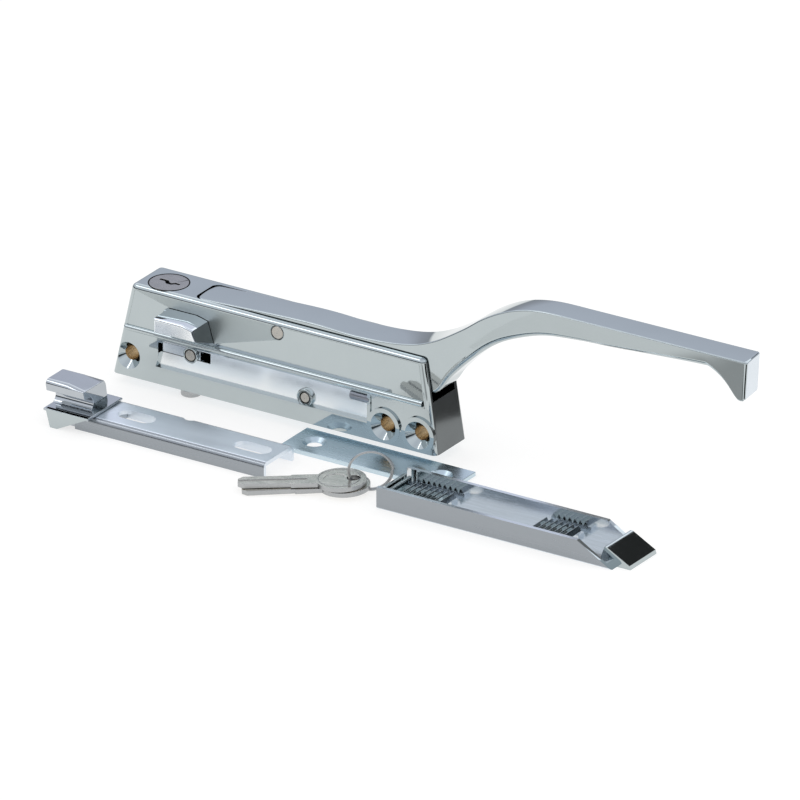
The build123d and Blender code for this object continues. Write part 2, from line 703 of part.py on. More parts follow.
# Sheet cover that closes the housing's underside
with BuildPart() as base_cover:
    with BuildSketch(level(-COVER_THICK)) as cover_plan:
        with Locations((COVER_INSET, COVER_NEAR)):
            Rectangle(
                HOUSING_LENGTH - 2 * COVER_INSET,
                HOUSING_DEPTH - COVER_NEAR - 1,
                align=(Align.MIN, Align.MIN),
            )
        fillet(cover_plan.vertices(), CORNER_R)
        with Locations(*COVER_SCREWS):
            Circle(COVER_SCREW_R + RUNNING_GAP, mode=Mode.SUBTRACT)
        with Locations(*LUGS):
            Circle(LUG_SHANK_R, mode=Mode.SUBTRACT)
    extrude(amount=COVER_THICK)
finish(base_cover, "base_cover")

with BuildPart() as cover_screws:
    with BuildSketch(level(-COVER_THICK)):
        with Locations(*COVER_SCREWS):
            Circle(COVER_SCREW_R)
    extrude(amount=COVER_SCREW_LENGTH)
    with BuildSketch(level(-COVER_THICK)):
        with Locations(*COVER_SCREWS):
            Circle(COVER_HEAD_R)
    extrude(amount=-COVER_SCREW_R)
finish(cover_screws, "cover_screws")

with BuildPart() as cover_lugs:
    with BuildSketch(level(FLOOR)):
        with Locations(*LUGS):
            Circle(LUG_R)
    extrude(amount=LUG_DROP - COVER_THICK)
    with BuildSketch(level(-COVER_THICK)):
        with Locations(*LUGS):
            Circle(LUG_SHANK_R)
    extrude(amount=COVER_THICK)
finish(cover_lugs, "cover_lugs")

# Cam lock: flanged tube, turning plug with its keyway, cam and retaining clip
with BuildPart() as lock_body:
    with BuildSketch(level(CAVITY_TOP)):
        with Locations((LOCK_X, LOCK_Y)):
            Circle(LOCK_FACE_R + LOCK_BORE_GAP - RUNNING_GAP)
    extrude(amount=LOCK_FLANGE)
    with BuildSketch(level(LOCK_BOTTOM)):
        with Locations((LOCK_X, LOCK_Y)):
            Circle(LOCK_TUBE_R)
    extrude(amount=CAVITY_TOP - LOCK_BOTTOM)
    with BuildSketch(level(CAVITY_TOP - 2 * CLIP_THICK)):
        with Locations((LOCK_X, LOCK_Y)):
            Circle(LOCK_TUBE_R + 1)
            Circle(CLIP_GROOVE_R, mode=Mode.SUBTRACT)
    extrude(amount=CLIP_THICK + 2 * RUNNING_GAP, mode=Mode.SUBTRACT)
    with BuildSketch(level(LOCK_BOTTOM)):
        with Locations((LOCK_X, LOCK_Y)):
            Circle(LOCK_PLUG_R + RUNNING_GAP)
    extrude(amount=HOUSING_HEIGHT, mode=Mode.SUBTRACT)
finish(lock_body, "lock_body")

LOCK_HEAD_Z = HOUSING_HEIGHT - LOCK_FACE_THICK + 0.1
with BuildPart() as lock_plug:
    with BuildSketch(level(LOCK_HEAD_Z)):
        with Locations((LOCK_X, LOCK_Y)):
            Circle(LOCK_FACE_R)
    extrude(amount=LOCK_FACE_THICK)
    chamfer(lock_plug.faces().sort_by(Axis.Z)[-1].edges(), 0.3)
    with BuildSketch(level(LOCK_BOTTOM - RUNNING_GAP)):
        with Locations((LOCK_X, LOCK_Y)):
            Circle(LOCK_PLUG_R)
    extrude(amount=LOCK_HEAD_Z - LOCK_BOTTOM + 0.5)
    with BuildSketch(level(HOUSING_HEIGHT + 0.1)):
        with Locations((LOCK_X, LOCK_Y)):
            Polygon(*KEYWAY, align=None)
    extrude(amount=-KEYWAY_DEPTH, mode=Mode.SUBTRACT)
finish(lock_plug, "lock_plug")

with BuildPart() as lock_cam:
    with BuildSketch(level(LOCK_BOTTOM - RUNNING_GAP - LOCK_CAM_THICK)):
        with Locations((LOCK_X, LOCK_Y)):
            Circle(LOCK_PLUG_R + 1)
        with Locations((LOCK_X, LOCK_Y)):
            Rectangle(2 * LOCK_CAM_R, LOCK_CAM_REACH, align=(Align.CENTER, Align.MIN))
    extrude(amount=LOCK_CAM_THICK)
finish(lock_cam, "lock_cam")

with BuildPart() as lock_clip:
    with BuildSketch(level(CAVITY_TOP - 2 * CLIP_THICK + RUNNING_GAP)):
        with Locations((LOCK_X, LOCK_Y)):
            Circle(CLIP_R)
            Circle(CLIP_GROOVE_R + RUNNING_GAP, mode=Mode.SUBTRACT)
        with Locations((LOCK_X + CLIP_GROOVE_R, LOCK_Y)):
            Rectangle(CLIP_GROOVE_R, CLIP_GROOVE_R, mode=Mode.SUBTRACT)
    extrude(amount=CLIP_THICK)
finish(lock_clip, "lock_clip")

# Channel bar of the hook strike, folded sheet with its open side down
with BuildPart() as strike_bar:
    with BuildSketch(across(STRIKE_X)) as bar_section:
        with Locations((STRIKE_Y, FLOOR)):
            Rectangle(STRIKE_WIDTH, STRIKE_HEIGHT, align=(Align.MIN, Align.MIN))
        fillet(bar_section.vertices().group_by(Axis.Y)[-1], STRIKE_BEND_R)
        with Locations((STRIKE_Y + STRIKE_SHEET, FLOOR)):
            Rectangle(
                STRIKE_WIDTH - 2 * STRIKE_SHEET,
                STRIKE_HEIGHT - STRIKE_SHEET,
                align=(Align.MIN, Align.MIN),
                mode=Mode.SUBTRACT,
            )
    extrude(amount=STRIKE_RIGHT_X - STRIKE_X)
    with BuildSketch(level(FLOOR)):
        with Locations(*[(slot_x, STRIKE_Y + STRIKE_WIDTH / 2) for slot_x in STRIKE_SLOTS]):
            SlotOverall(STRIKE_SLOT_LENGTH, STRIKE_SLOT_WIDTH)
        with Locations((NOTCH_X, STRIKE_Y + STRIKE_WIDTH)):
            Circle(NOTCH_R)
    extrude(amount=2 * STRIKE_HEIGHT, mode=Mode.SUBTRACT)
finish(strike_bar, "strike_bar")

# Hook casting: overhanging nose over a concave throat, on a base that grips the bar's end
BAR_TOP_Z = FLOOR + STRIKE_HEIGHT
HOOK_LEDGE = BAR_TOP_Z + HOOK_BASE_THICK
HOOK_TOP = HOOK_LEDGE + HOOK_CREST[1]
toe, throat, lip, brow, (crest,), back, (heel,) = [
    [(HOOK_BASE_Y + along, HOOK_LEDGE + rise) for along, rise in points]
    for points in (
        (HOOK_TOE,),
        HOOK_THROAT,
        HOOK_LIP,
        HOOK_BROW,
        (HOOK_CREST,),
        HOOK_BACK,
        ((HOOK_HEEL, -HOOK_SINK),),
    )
]
toe = toe[0]
with BuildPart() as strike_hook:
    with BuildSketch(across(HOOK_X)):
        with BuildLine():
            Polyline(heel, (toe[0], heel[1]), toe)
            ThreePointArc(toe, *throat)
            Polyline(throat[-1], *lip)
            ThreePointArc(lip[-1], *brow)
            Line(brow[-1], crest)
            ThreePointArc(crest, *back)
            Line(back[-1], heel)
        make_face()
    extrude(amount=HOOK_BLOCK_LENGTH)
    # Sloping part of the top, beyond the ridge
    with BuildSketch(front(0)):
        Polygon(
            (HOOK_X + HOOK_FLAT, HOOK_TOP),
            (HOOK_X + HOOK_BLOCK_LENGTH + 1, HOOK_TOP - HOOK_FALL),
            (HOOK_X + HOOK_BLOCK_LENGTH + 1, HOOK_TOP + 1),
            (HOOK_X + HOOK_FLAT, HOOK_TOP + 1),
            align=None,
        )
    extrude(amount=-2 * HOOK_BASE_Y, both=True, mode=Mode.SUBTRACT)
    # Base slab over the bar's end
    with BuildSketch(level(BAR_TOP_Z + HOOK_GAP)):
        with Locations((HOOK_X, HOOK_BASE_Y)):
            Rectangle(HOOK_BASE_LENGTH, HOOK_BASE_WIDTH, align=(Align.MIN, Align.MIN))
    extrude(amount=HOOK_BASE_THICK - HOOK_GAP)
    # Near skirt with its rising lower edge
    with BuildSketch(front(HOOK_BASE_Y)):
        Polygon(
            (HOOK_X + SKIRT_POINTS[0], HOOK_LEDGE),
            (HOOK_X + SKIRT_POINTS[1], FLOOR),
            (HOOK_X + SKIRT_POINTS[2], FLOOR),
            (HOOK_X + HOOK_BASE_LENGTH, HOOK_LEDGE - SKIRT_RISE),
            (HOOK_X + HOOK_BASE_LENGTH, HOOK_LEDGE),
            align=None,
        )
    extrude(amount=-HOOK_SKIRT)
    # Foot before the bar's end and tongue inside it
    with BuildSketch(level(FLOOR)):
        with Locations((HOOK_X + HOOK_FOOT, STRIKE_Y + STRIKE_SHEET + HOOK_GAP)):
            Rectangle(
                STRIKE_X - HOOK_X - HOOK_FOOT - HOOK_GAP,
                STRIKE_WIDTH - 2 * STRIKE_SHEET - 2 * HOOK_GAP,
                align=(Align.MIN, Align.MIN),
            )
    extrude(amount=HOOK_LEDGE - FLOOR)
    with BuildSketch(level(FLOOR)):
        with Locations((STRIKE_X - 1, STRIKE_Y + STRIKE_SHEET + HOOK_GAP)):
            Rectangle(
                HOOK_TONGUE - STRIKE_X + 1,
                STRIKE_WIDTH - 2 * STRIKE_SHEET - 2 * HOOK_GAP,
                align=(Align.MIN, Align.MIN),
            )
    extrude(amount=STRIKE_HEIGHT - STRIKE_SHEET - HOOK_GAP)
finish(strike_hook, "strike_hook")

# Serrated strike: one open channel casting
CHANNEL_FLOOR = FLOOR + CHANNEL_SHEET
CHANNEL_MID_Y = CHANNEL_Y + CHANNEL_WIDTH / 2
with BuildPart() as strike_channel:
    with BuildSketch(front(CHANNEL_Y)):
        Polygon(
            (CHANNEL_X, FLOOR),
            (CHANNEL_RIGHT_X, FLOOR),
            (CHANNEL_RIGHT_X - CHANNEL_SLANT, FLOOR + CHANNEL_HEIGHT),
            (CHANNEL_X, FLOOR + CHANNEL_HEIGHT),
            align=None,
        )
    extrude(amount=-CHANNEL_WIDTH)
    fillet(strike_channel.faces().sort_by(Axis.Z)[0].edges().filter_by(Axis.X), STRIKE_BEND_R / 2)
    with BuildSketch(across(CHANNEL_X)):
        with Locations((CHANNEL_Y + CHANNEL_SHEET, CHANNEL_FLOOR)):
            Rectangle(
                CHANNEL_WIDTH - 2 * CHANNEL_SHEET,
                CHANNEL_HEIGHT,
                align=(Align.MIN, Align.MIN),
            )
    extrude(amount=CHANNEL_RIGHT_X - CHANNEL_X, mode=Mode.SUBTRACT)
    for pad_x, pad_length in PADS:
        teeth = int(pad_length / TOOTH_PITCH)
        with BuildSketch(front(CHANNEL_MID_Y - PAD_WIDTH / 2)):
            with Locations((pad_x, CHANNEL_FLOOR)):
                Rectangle(pad_length, PAD_HEIGHT, align=(Align.MIN, Align.MIN))
            for tooth in range(teeth):
                tooth_x = pad_x + tooth * TOOTH_PITCH
                Polygon(
                    (tooth_x, CHANNEL_FLOOR + PAD_HEIGHT - TOOTH_SINK),
                    (tooth_x + TOOTH_PITCH, CHANNEL_FLOOR + PAD_HEIGHT - TOOTH_SINK),
                    (tooth_x + TOOTH_PITCH / 2, CHANNEL_FLOOR + PAD_HEIGHT + TOOTH_HEIGHT),
                    align=None,
                )
        extrude(amount=-PAD_WIDTH)
    with BuildSketch(level(FLOOR)):
        with Locations(*[(slot_x, CHANNEL_MID_Y) for slot_x in CHANNEL_SLOTS]):
            SlotOverall(CHANNEL_SLOT_LENGTH, CHANNEL_SLOT_WIDTH)
    extrude(amount=2 * CHANNEL_HEIGHT, mode=Mode.SUBTRACT)
    # Ramp nose beyond the slanted wall ends
    with BuildSketch(front(NOSE_Y)):
        Polygon(
            (NOSE_X - NOSE_ROOT, FLOOR),
            (NOSE_X + NOSE_LENGTH, FLOOR),
            (NOSE_X + NOSE_LENGTH - NOSE_TIP_LEAN, FLOOR + NOSE_END),
            (NOSE_X, FLOOR + NOSE_TOP),
            (NOSE_X - NOSE_FLAT, FLOOR + NOSE_TOP),
            (NOSE_X - NOSE_ROOT, CHANNEL_FLOOR),
            align=None,
        )
    extrude(amount=-NOSE_WIDTH)
finish(strike_channel, "strike_channel")

# Zinc-plated shim plate
with BuildPart() as shim_plate:
    with BuildSketch(level(FLOOR)):
        with Locations((SHIM_X, SHIM_Y)):
            Rectangle(SHIM_LENGTH, SHIM_WIDTH, align=(Align.MIN, Align.MIN))
    extrude(amount=SHIM_THICK)
    for side in (-1, 1):
        hole_x = SHIM_X + SHIM_LENGTH / 2 + side * SHIM_HOLE_SPACING / 2
        with Locations(level(FLOOR + SHIM_THICK).location * Location((hole_x, SHIM_Y + SHIM_WIDTH / 2, 0))):
            CounterSinkHole(SHIM_HOLE_R, SHIM_SINK_R, counter_sink_angle=SHIM_SINK_ANGLE)
finish(shim_plate, "shim_plate")


def cut_key(hole, bottom, heading):
    """Key lying with its ring hole at the given spot, tilted so that its tip is lower."""
    spot = level(bottom).location * Location((hole[0], hole[1], 0), (0, 0, heading))
    lying = Plane(spot * Location((0, 0, 0), (0, -KEY_TILT, 0)))
    blade_end = -KEY_HOLE_OFFSET - (KEY_LENGTH - KEY_BOW_R)
    shoulder_x = -KEY_HOLE_OFFSET - KEY_SHOULDER_AT
    with BuildPart() as key:
        with BuildSketch(lying):
            with Locations((-KEY_HOLE_OFFSET, 0)):
                Circle(KEY_BOW_R)
            Polygon(
                (-KEY_HOLE_OFFSET, -KEY_SHOULDER / 2),
                (-KEY_HOLE_OFFSET, KEY_SHOULDER / 2),
                (shoulder_x, KEY_SHOULDER / 2),
                (shoulder_x, KEY_BLADE / 2),
                (blade_end + KEY_TIP, KEY_BLADE / 2),
                (blade_end, KEY_BLADE / 4),
                (blade_end, -KEY_BLADE / 4),
                (blade_end + KEY_TIP, -KEY_BLADE / 2),
                (shoulder_x, -KEY_BLADE / 2),
                (shoulder_x, -KEY_SHOULDER / 2),
                align=None,
            )
            Circle(KEY_HOLE_R, mode=Mode.SUBTRACT)
        extrude(amount=KEY_THICK)
        with BuildSketch(lying.offset(KEY_THICK)):
            with Locations((blade_end - 1, 0)):
                Rectangle(KEY_LENGTH / 2 + 3, KEY_BLADE / 5, align=(Align.MIN, Align.CENTER))
        extrude(amount=-KEY_GROOVE, mode=Mode.SUBTRACT)
        # Shallow eight-sided recess on the bow, left bare
        with BuildSketch(lying.offset(KEY_THICK)):
            with Locations((-KEY_RECESS_AT, 0)):
                RegularPolygon(KEY_RECESS_R, 8)
        extrude(amount=-KEY_RECESS, mode=Mode.SUBTRACT)
    return key


key_b = cut_key(KEY_B_HOLE, FLOOR + KEY_B_LIFT, KEY_HEADING + KEY_B_TURN)
finish(key_b, "key_b")
key_a = cut_key(KEY_A_HOLE, FLOOR + KEY_B_LIFT + KEY_THICK + KEY_STACK_GAP, KEY_HEADING)
finish(key_a, "key_a")

# Split ring standing on the table through both key bows
ring_foot = level(FLOOR + RING_WIRE_R + RUNNING_GAP).location * Location(
    (RING_FOOT[0], RING_FOOT[1], 0), (0, 0, RING_HEADING)
)
ring_plane = Plane(ring_foot * Location((0, 0, 0), (90 + RING_LEAN, 0, 0)) * Location((0, RING_R, 0)))
with BuildPart() as key_ring:
    with BuildSketch(Plane(origin=ring_plane.origin, x_dir=ring_plane.x_dir, z_dir=ring_plane.y_dir)):
        with Locations((RING_R, 0)):
            Circle(RING_WIRE_R)
    revolve(axis=Axis(ring_plane.origin, ring_plane.z_dir))
finish(key_ring, "key_ring")
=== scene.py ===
"""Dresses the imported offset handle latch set: finishes, worked pieces, studio and camera.

The set lies on a pale table. The latch's own sizes are in millimetres: x runs from its lock end
to the grip, y away from the viewer and z up from the housing's underside.
"""

from __future__ import annotations

import logging
import math
from dataclasses import dataclass
from enum import Enum
from typing import Callable, Iterable, Mapping, Optional, Sequence, Union

import bmesh
import bpy
import numpy as np
from mathutils import Matrix, Vector


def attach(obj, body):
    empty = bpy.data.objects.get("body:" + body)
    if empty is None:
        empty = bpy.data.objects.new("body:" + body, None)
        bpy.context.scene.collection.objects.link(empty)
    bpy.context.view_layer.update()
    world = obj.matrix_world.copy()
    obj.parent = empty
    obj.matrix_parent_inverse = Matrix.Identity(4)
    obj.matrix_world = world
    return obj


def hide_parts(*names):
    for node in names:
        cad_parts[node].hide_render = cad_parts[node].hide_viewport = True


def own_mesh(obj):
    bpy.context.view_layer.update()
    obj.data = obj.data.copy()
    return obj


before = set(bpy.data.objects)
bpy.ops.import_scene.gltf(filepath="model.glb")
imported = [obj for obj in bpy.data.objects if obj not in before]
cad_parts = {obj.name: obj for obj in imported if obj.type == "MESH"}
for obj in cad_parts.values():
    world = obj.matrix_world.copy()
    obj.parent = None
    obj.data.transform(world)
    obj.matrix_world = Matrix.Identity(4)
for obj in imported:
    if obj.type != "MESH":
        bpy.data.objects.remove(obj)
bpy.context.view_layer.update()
LOG = logging.getLogger("latch_scene")

MM = 0.001
ORIGIN_MM = (142.1, -20.125, -4.0)
FACET_ANGLE = math.radians(0.6)
MERGE_DISTANCE = 2e-6
FLAT_ON = 0.9
CAST_SHARP = 50.0
WHITE = (1, 1, 1, 1)
BRUSH_MM = 0.35
WAVES_PER_SCALE = 20.0 / math.tau
QUARTER = math.pi / 2
SOCKET_KINDS = {float: "NodeSocketFloat", int: "NodeSocketInt", tuple: "NodeSocketVector"}

Colour = tuple[float, float, float]
Point = tuple[float, float, float]
Spot = tuple[float, float]
Node = bpy.types.Node
Socket = bpy.types.NodeSocket
Piece = bpy.types.Object
Mesh = bpy.types.Mesh
Material = bpy.types.Material
FaceTest = Callable[[np.ndarray, np.ndarray], np.ndarray]


def row(x: float, y: float, z: float) -> Vector:
    """Places a point of the latch's own millimetres in the shared frame, in metres."""
    return Vector([(value - start) * MM for value, start in zip((x, y, z), ORIGIN_MM)])


def spin(degrees: float, axis: str) -> Matrix:
    """Gives a turn about an axis."""
    return Matrix.Rotation(math.radians(degrees), 4, axis)


class Slot(Enum):
    """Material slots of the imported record."""

    CASTING = "chrome_casting"
    SHEET = "chrome_sheet"
    ZINC = "zinc_plating"
    PIN = "steel_pin"
    SPRING = "spring_steel"
    NICKEL = "nickel"


class Marks(Enum):
    """How working left its marks on a surface."""

    POLISHED = "polished"
    BRUSHED = "brushed"
    TURNED = "turned"


@dataclass(frozen=True)
class Graph:
    """A node tree that grows node by node."""

    tree: bpy.types.NodeTree
    family: str = "ShaderNode"

    def feed(self, socket: Socket, value: object) -> None:
        """Links a socket, or a node's first one, to an input, or sets its value.

        Args:
            socket: The input.
            value: A socket, a node or a plain value.
        """
        if isinstance(value, Node):
            value = next(out for out in value.outputs if out.enabled)
        if isinstance(value, Socket):
            self.tree.links.new(value, socket)
        else:
            socket.default_value = value

    def add(self, kind: str, feeds: Optional[Mapping[Union[str, int], object]] = None, **settings: str) -> Node:
        """Adds a node, sets its options and feeds its inputs.

        Args:
            kind: The node's type, without the tree's family name.
            feeds: Nodes, sockets or values, by the name or number of the input.
            settings: The node's own options.

        Returns:
            The new node.
        """
        node = self.tree.nodes.new(self.family + kind)
        for label, value in settings.items():
            setattr(node, label, value)
        for label, value in (feeds or {}).items():
            self.feed(node.inputs[label], value)
        return node

    def remap(self, value: object, ends: Sequence[float], **settings: str) -> Node:
        """Maps a value from one range to another; no range after means 0 to 1."""
        labels = ("Value", "From Min", "From Max", "To Min", "To Max")
        return self.add("MapRange", dict(zip(labels, (value, *ends))), **settings)

    def shade(self, **feeds: object) -> None:
        """Feeds the main shader's inputs, named with underscores for spaces."""
        for label, value in feeds.items():
            self.feed(self.tree.nodes["Principled BSDF"].inputs[label.replace("_", " ")], value)


def new_material(name: str) -> tuple[Material, Graph]:
    """Makes a material with its default nodes.

    Args:
        name: Name of the material.

    Returns:
        The material and its graph.
    """
    material = bpy.data.materials.new(name)
    material.use_nodes = True
    return material, Graph(material.node_tree)


@dataclass(frozen=True)
class MetalFinish:
    """One metal surface: its two tones, its polish and the marks of working."""

    name: str
    bright: Colour
    dull: Colour
    gloss: tuple[float, float]
    patch_mm: float = 12.0
    stretch: Point = (1.0, 1.0, 1.0)
    relief_mm: float = 0.004
    marks: Marks = Marks.POLISHED
    centre: Optional[Point] = None
    ring_mm: float = 0.5
    patch_range: tuple[float, float] = (0.3, 0.7)
    relief_share: float = 0.9

    def _noise(self, graph: Graph, place: Node, grain_mm: float, detail: float, rough: float = 0.5) -> Node:
        """Adds noise that is stretched along the marks of working.

        Args:
            graph: The material's graph.
            place: The node of the coordinates.
            grain_mm: Size of the grain.
            detail: Octaves of finer noise.
            rough: Strength of the finer noise.

        Returns:
            The noise's node.
        """
        stretch = graph.add("Mapping", {"Vector": place, "Scale": self.stretch}, vector_type="TEXTURE")
        feeds = {"Vector": stretch, "Scale": 1.0 / (grain_mm * MM), "Detail": detail, "Roughness": rough}
        return graph.add("TexNoise", feeds)

    def _relief(self, graph: Graph, place: Node) -> object:
        """Adds the fine height pattern of the working marks.

        Args:
            graph: The material's graph.
            place: The node of the coordinates.

        Returns:
            The pattern's node or socket.
        """
        if self.marks is Marks.TURNED:
            feeds = {"Vector": place, "Scale": 1.0 / (WAVES_PER_SCALE * self.ring_mm * MM), "Distortion": 0.4}
            return graph.add("TexWave", feeds, wave_type="RINGS", rings_direction="Y").outputs["Fac"]
        if self.marks is Marks.BRUSHED:
            return self._noise(graph, place, BRUSH_MM, detail=3.0)
        return self._noise(graph, place, self.patch_mm * self.relief_share, detail=1.0)

    def material(self) -> Material:
        """Builds the node material, or returns it where it was built before.

        Returns:
            The Blender material of this finish.
        """
        found = bpy.data.materials.get(self.name)
        if found:
            return found
        material, graph = new_material(self.name)
        place = graph.add("Mapping", {"Vector": graph.add("TexCoord").outputs["Object"]})
        if self.centre:
            place.inputs["Location"].default_value = -row(*self.centre)
        patches = self._noise(graph, place, self.patch_mm, detail=5.0, rough=0.6)
        feeds = {"Factor": patches, "A": (*self.dull, 1.0), "B": (*self.bright, 1.0)}
        tones = graph.add("Mix", feeds, data_type="RGBA")
        polish = graph.remap(patches, (*self.patch_range, *self.gloss))
        bump = graph.add("Bump", {"Distance": self.relief_mm * MM, "Height": self._relief(graph, place)})
        graph.shade(Metallic=1.0, Base_Color=tones, Roughness=polish, Normal=bump)
        return material


CHROME = MetalFinish("polished_chrome", (0.50, 0.55, 0.56), (0.44, 0.49, 0.50), (0.02, 0.05), 22.0)
FACE = MetalFinish("buffed_front_face", (0.48, 0.53, 0.53), (0.44, 0.49, 0.495), (0.38, 0.46), 16.0)
HOOK = MetalFinish("hook_chrome", (0.52, 0.55, 0.58), (0.45, 0.48, 0.51), (0.03, 0.07), 8.0)
# Brightened chrome: painted light on the pocket's back wall and on the bolt's near faces.
LIT_CHROME = MetalFinish("painted_light_chrome", (0.95, 0.97, 0.97), (0.86, 0.89, 0.90), (0.16, 0.24), 14.0)
# Brightened chrome for the bolt: a painted highlight over its faces.
BOLT_HIGHLIGHT = MetalFinish("bolt_painted_highlight", (0.80, 0.84, 0.87), (0.70, 0.75, 0.79), (0.02, 0.05), 9.0)
# Darkened chrome for the bolt's ends: painted shade.
BOLT_SIDE_SHADE = MetalFinish("bolt_side_painted_shade", (0.30, 0.32, 0.33), (0.22, 0.24, 0.25), (0.05, 0.12), 6.0)
# Darkened chrome for the grip end's faces: a painted dark reflection.
GRIP_END_SHADE = MetalFinish("grip_end_painted_shade", (0.19, 0.205, 0.207), (0.14, 0.15, 0.155), (0.10, 0.18), 14.0)
# Plated sheet; the handle tip's end face also takes it, as a painted reflection tone.
SHEET = MetalFinish(
    "plated_sheet", (0.78, 0.83, 0.88), (0.64, 0.70, 0.75), (0.12, 0.24), 9.0, (6.0, 1.0, 1.0), 0.002
)
# Darkened copy of the plated sheet: painted shade on the strikes' near walls and sloping bends.
SIDE_SHADE = MetalFinish(
    "side_wall_painted_shade", (0.37, 0.395, 0.42), (0.30, 0.325, 0.35), (0.22, 0.34), 7.0, (9.0, 1.0, 1.0), 0.002
)
# Pale streaked copy of the plated sheet: painted reflection streaks on the channel's tray and far inner walls.
TRAY_REFLECTION = MetalFinish(
    "tray_painted_reflections", (0.84, 0.89, 0.94), (0.60, 0.62, 0.62), (0.08, 0.2), 1.6, (14.0, 1.0, 1.0), 0.003
)
# Brightened, streaked copy of the plated sheet: painted light on the hook strike bar's top.
BAR_TOP_LIT = MetalFinish(
    "bar_top_painted_light", (0.88, 0.94, 1.0), (0.74, 0.80, 0.86), (0.30, 0.40), 9.0, (6.0, 1.0, 1.0), 0.002
)
ZINC = MetalFinish(
    "blue_zinc", (0.66, 0.77, 0.83), (0.53, 0.65, 0.72), (0.20, 0.32), 5.0, (9.0, 1.0, 1.0), 0.002,
    Marks.BRUSHED,
)
NICKEL = MetalFinish(
    "key_nickel", (0.98, 0.94, 0.86), (0.70, 0.67, 0.60), (0.14, 0.26), 3.0, (3.0, 1.0, 1.0), 0.0008,
    Marks.BRUSHED,
)
LOCK_FACE = MetalFinish(
    "lock_face_nickel", (0.40, 0.395, 0.395), (0.30, 0.30, 0.305), (0.2, 0.32), 3.0, relief_mm=0.001
)
BARE_BORE = MetalFinish(
    "bare_bore_metal", (0.95, 0.84, 0.66), (0.50, 0.42, 0.31), (0.2, 0.35), 1.6, (1.0, 5.0, 1.0)
)
AS_CAST = MetalFinish("as_cast_zinc", (0.36, 0.37, 0.38), (0.22, 0.23, 0.24), (0.4, 0.6), 2.0, relief_mm=0.03)
SPRING_WIRE = MetalFinish("spring_wire_steel", (0.36, 0.38, 0.42), (0.2, 0.21, 0.24), (0.25, 0.4), 1.5)
STAMPED = MetalFinish("stamped_steel", (0.52, 0.53, 0.53), (0.36, 0.37, 0.38), (0.22, 0.38), 4.0)
# Darkened steel: painted shade on the steep flanks of the serrations.
TOOTH_FLANK_SHADE = MetalFinish("tooth_flank_painted_shade", (0.22, 0.23, 0.24), (0.12, 0.125, 0.13), (0.2, 0.35), 1.5)
# Near-black painted shade for gaps and grooves: the pins' groove rings, the lock's side wall and the line round
# the lock's seat.
GAP_SHADE = MetalFinish("painted_gap_shade", (0.03, 0.03, 0.03), (0.012, 0.012, 0.012), (0.5, 0.7), 1.0)
PIN_STEEL = ((0.60, 0.57, 0.52), (0.42, 0.40, 0.36), (0.22, 0.4), 1.2)


def link(name: str, data: bpy.types.ID) -> Piece:
    """Puts a mesh, lamp or camera into the scene as an object at the origin.

    Args:
        name: Name of the object.
        data: Its mesh, light or camera data.

    Returns:
        The object.
    """
    thing = bpy.data.objects.new(name, data)
    bpy.context.scene.collection.objects.link(thing)
    return thing


def as_mesh(name: str, work: bmesh.types.BMesh, materials: Iterable[Material]) -> Mesh:
    """Turns worked geometry into a mesh and frees it.

    Args:
        name: Name of the mesh.
        work: The worked geometry.
        materials: The mesh's materials, in the order of its faces' indices.

    Returns:
        The mesh.
    """
    mesh = bpy.data.meshes.new(name)
    work.to_mesh(mesh)
    work.free()
    for material in materials:
        mesh.materials.append(material)
    return mesh


def apply_modifiers(thing: Piece) -> Piece:
    """Turns an object's modifiers into its mesh and takes them off.

    Args:
        thing: The object, whose modifiers are live.

    Returns:
        The same object.
    """
    bpy.context.view_layer.update()
    graph = bpy.context.evaluated_depsgraph_get()
    source = thing.evaluated_get(graph)
    made = bpy.data.meshes.new_from_object(source, preserve_all_data_layers=True, depsgraph=graph)
    thing.modifiers.clear()
    thing.data = made
    return thing


@dataclass(frozen=True)
class BrokenEdge:
    """How far and how finely the edges of a piece are broken."""

    width_mm: float
    segments: int = 3
    angle: float = 30.0
    miter: str = "MITER_SHARP"


def dress(thing: Piece, sharp: float = 32.0, edge: Optional[BrokenEdge] = None) -> Piece:
    """Breaks a piece's edges and shades flat faces flat and rounded ones smooth.

    Args:
        thing: The piece.
        sharp: Degrees from which an edge stays sharp.
        edge: How its edges are broken.

    Returns:
        The same piece, its mesh final.
    """
    if edge:
        bevel = thing.modifiers.new("broken_edges", "BEVEL")
        bevel.width = edge.width_mm * MM
        bevel.segments = edge.segments
        bevel.limit_method = "ANGLE"
        bevel.angle_limit = math.radians(edge.angle)
        bevel.miter_outer = edge.miter
    thing.data.shade_smooth()
    thing.data.set_sharp_from_angle(angle=math.radians(sharp))
    weigh = thing.modifiers.new("even_shading", "WEIGHTED_NORMAL")
    weigh.keep_sharp = True
    weigh.weight = 100
    return apply_modifiers(thing)


def ride(thing: Piece, body: str, slot: Slot, *nodes: str) -> Piece:
    """Fixes a finished piece to its body and hides the CAD nodes that it stands for.

    Args:
        thing: The piece.
        body: The CAD body that carries it.
        slot: The record's material slot; not used.
        nodes: CAD nodes that it replaces.

    Returns:
        The same piece.
    """
    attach(thing, body)
    if nodes:
        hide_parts(*nodes)
    LOG.info("%s rides on %s", thing.name, body)
    return thing


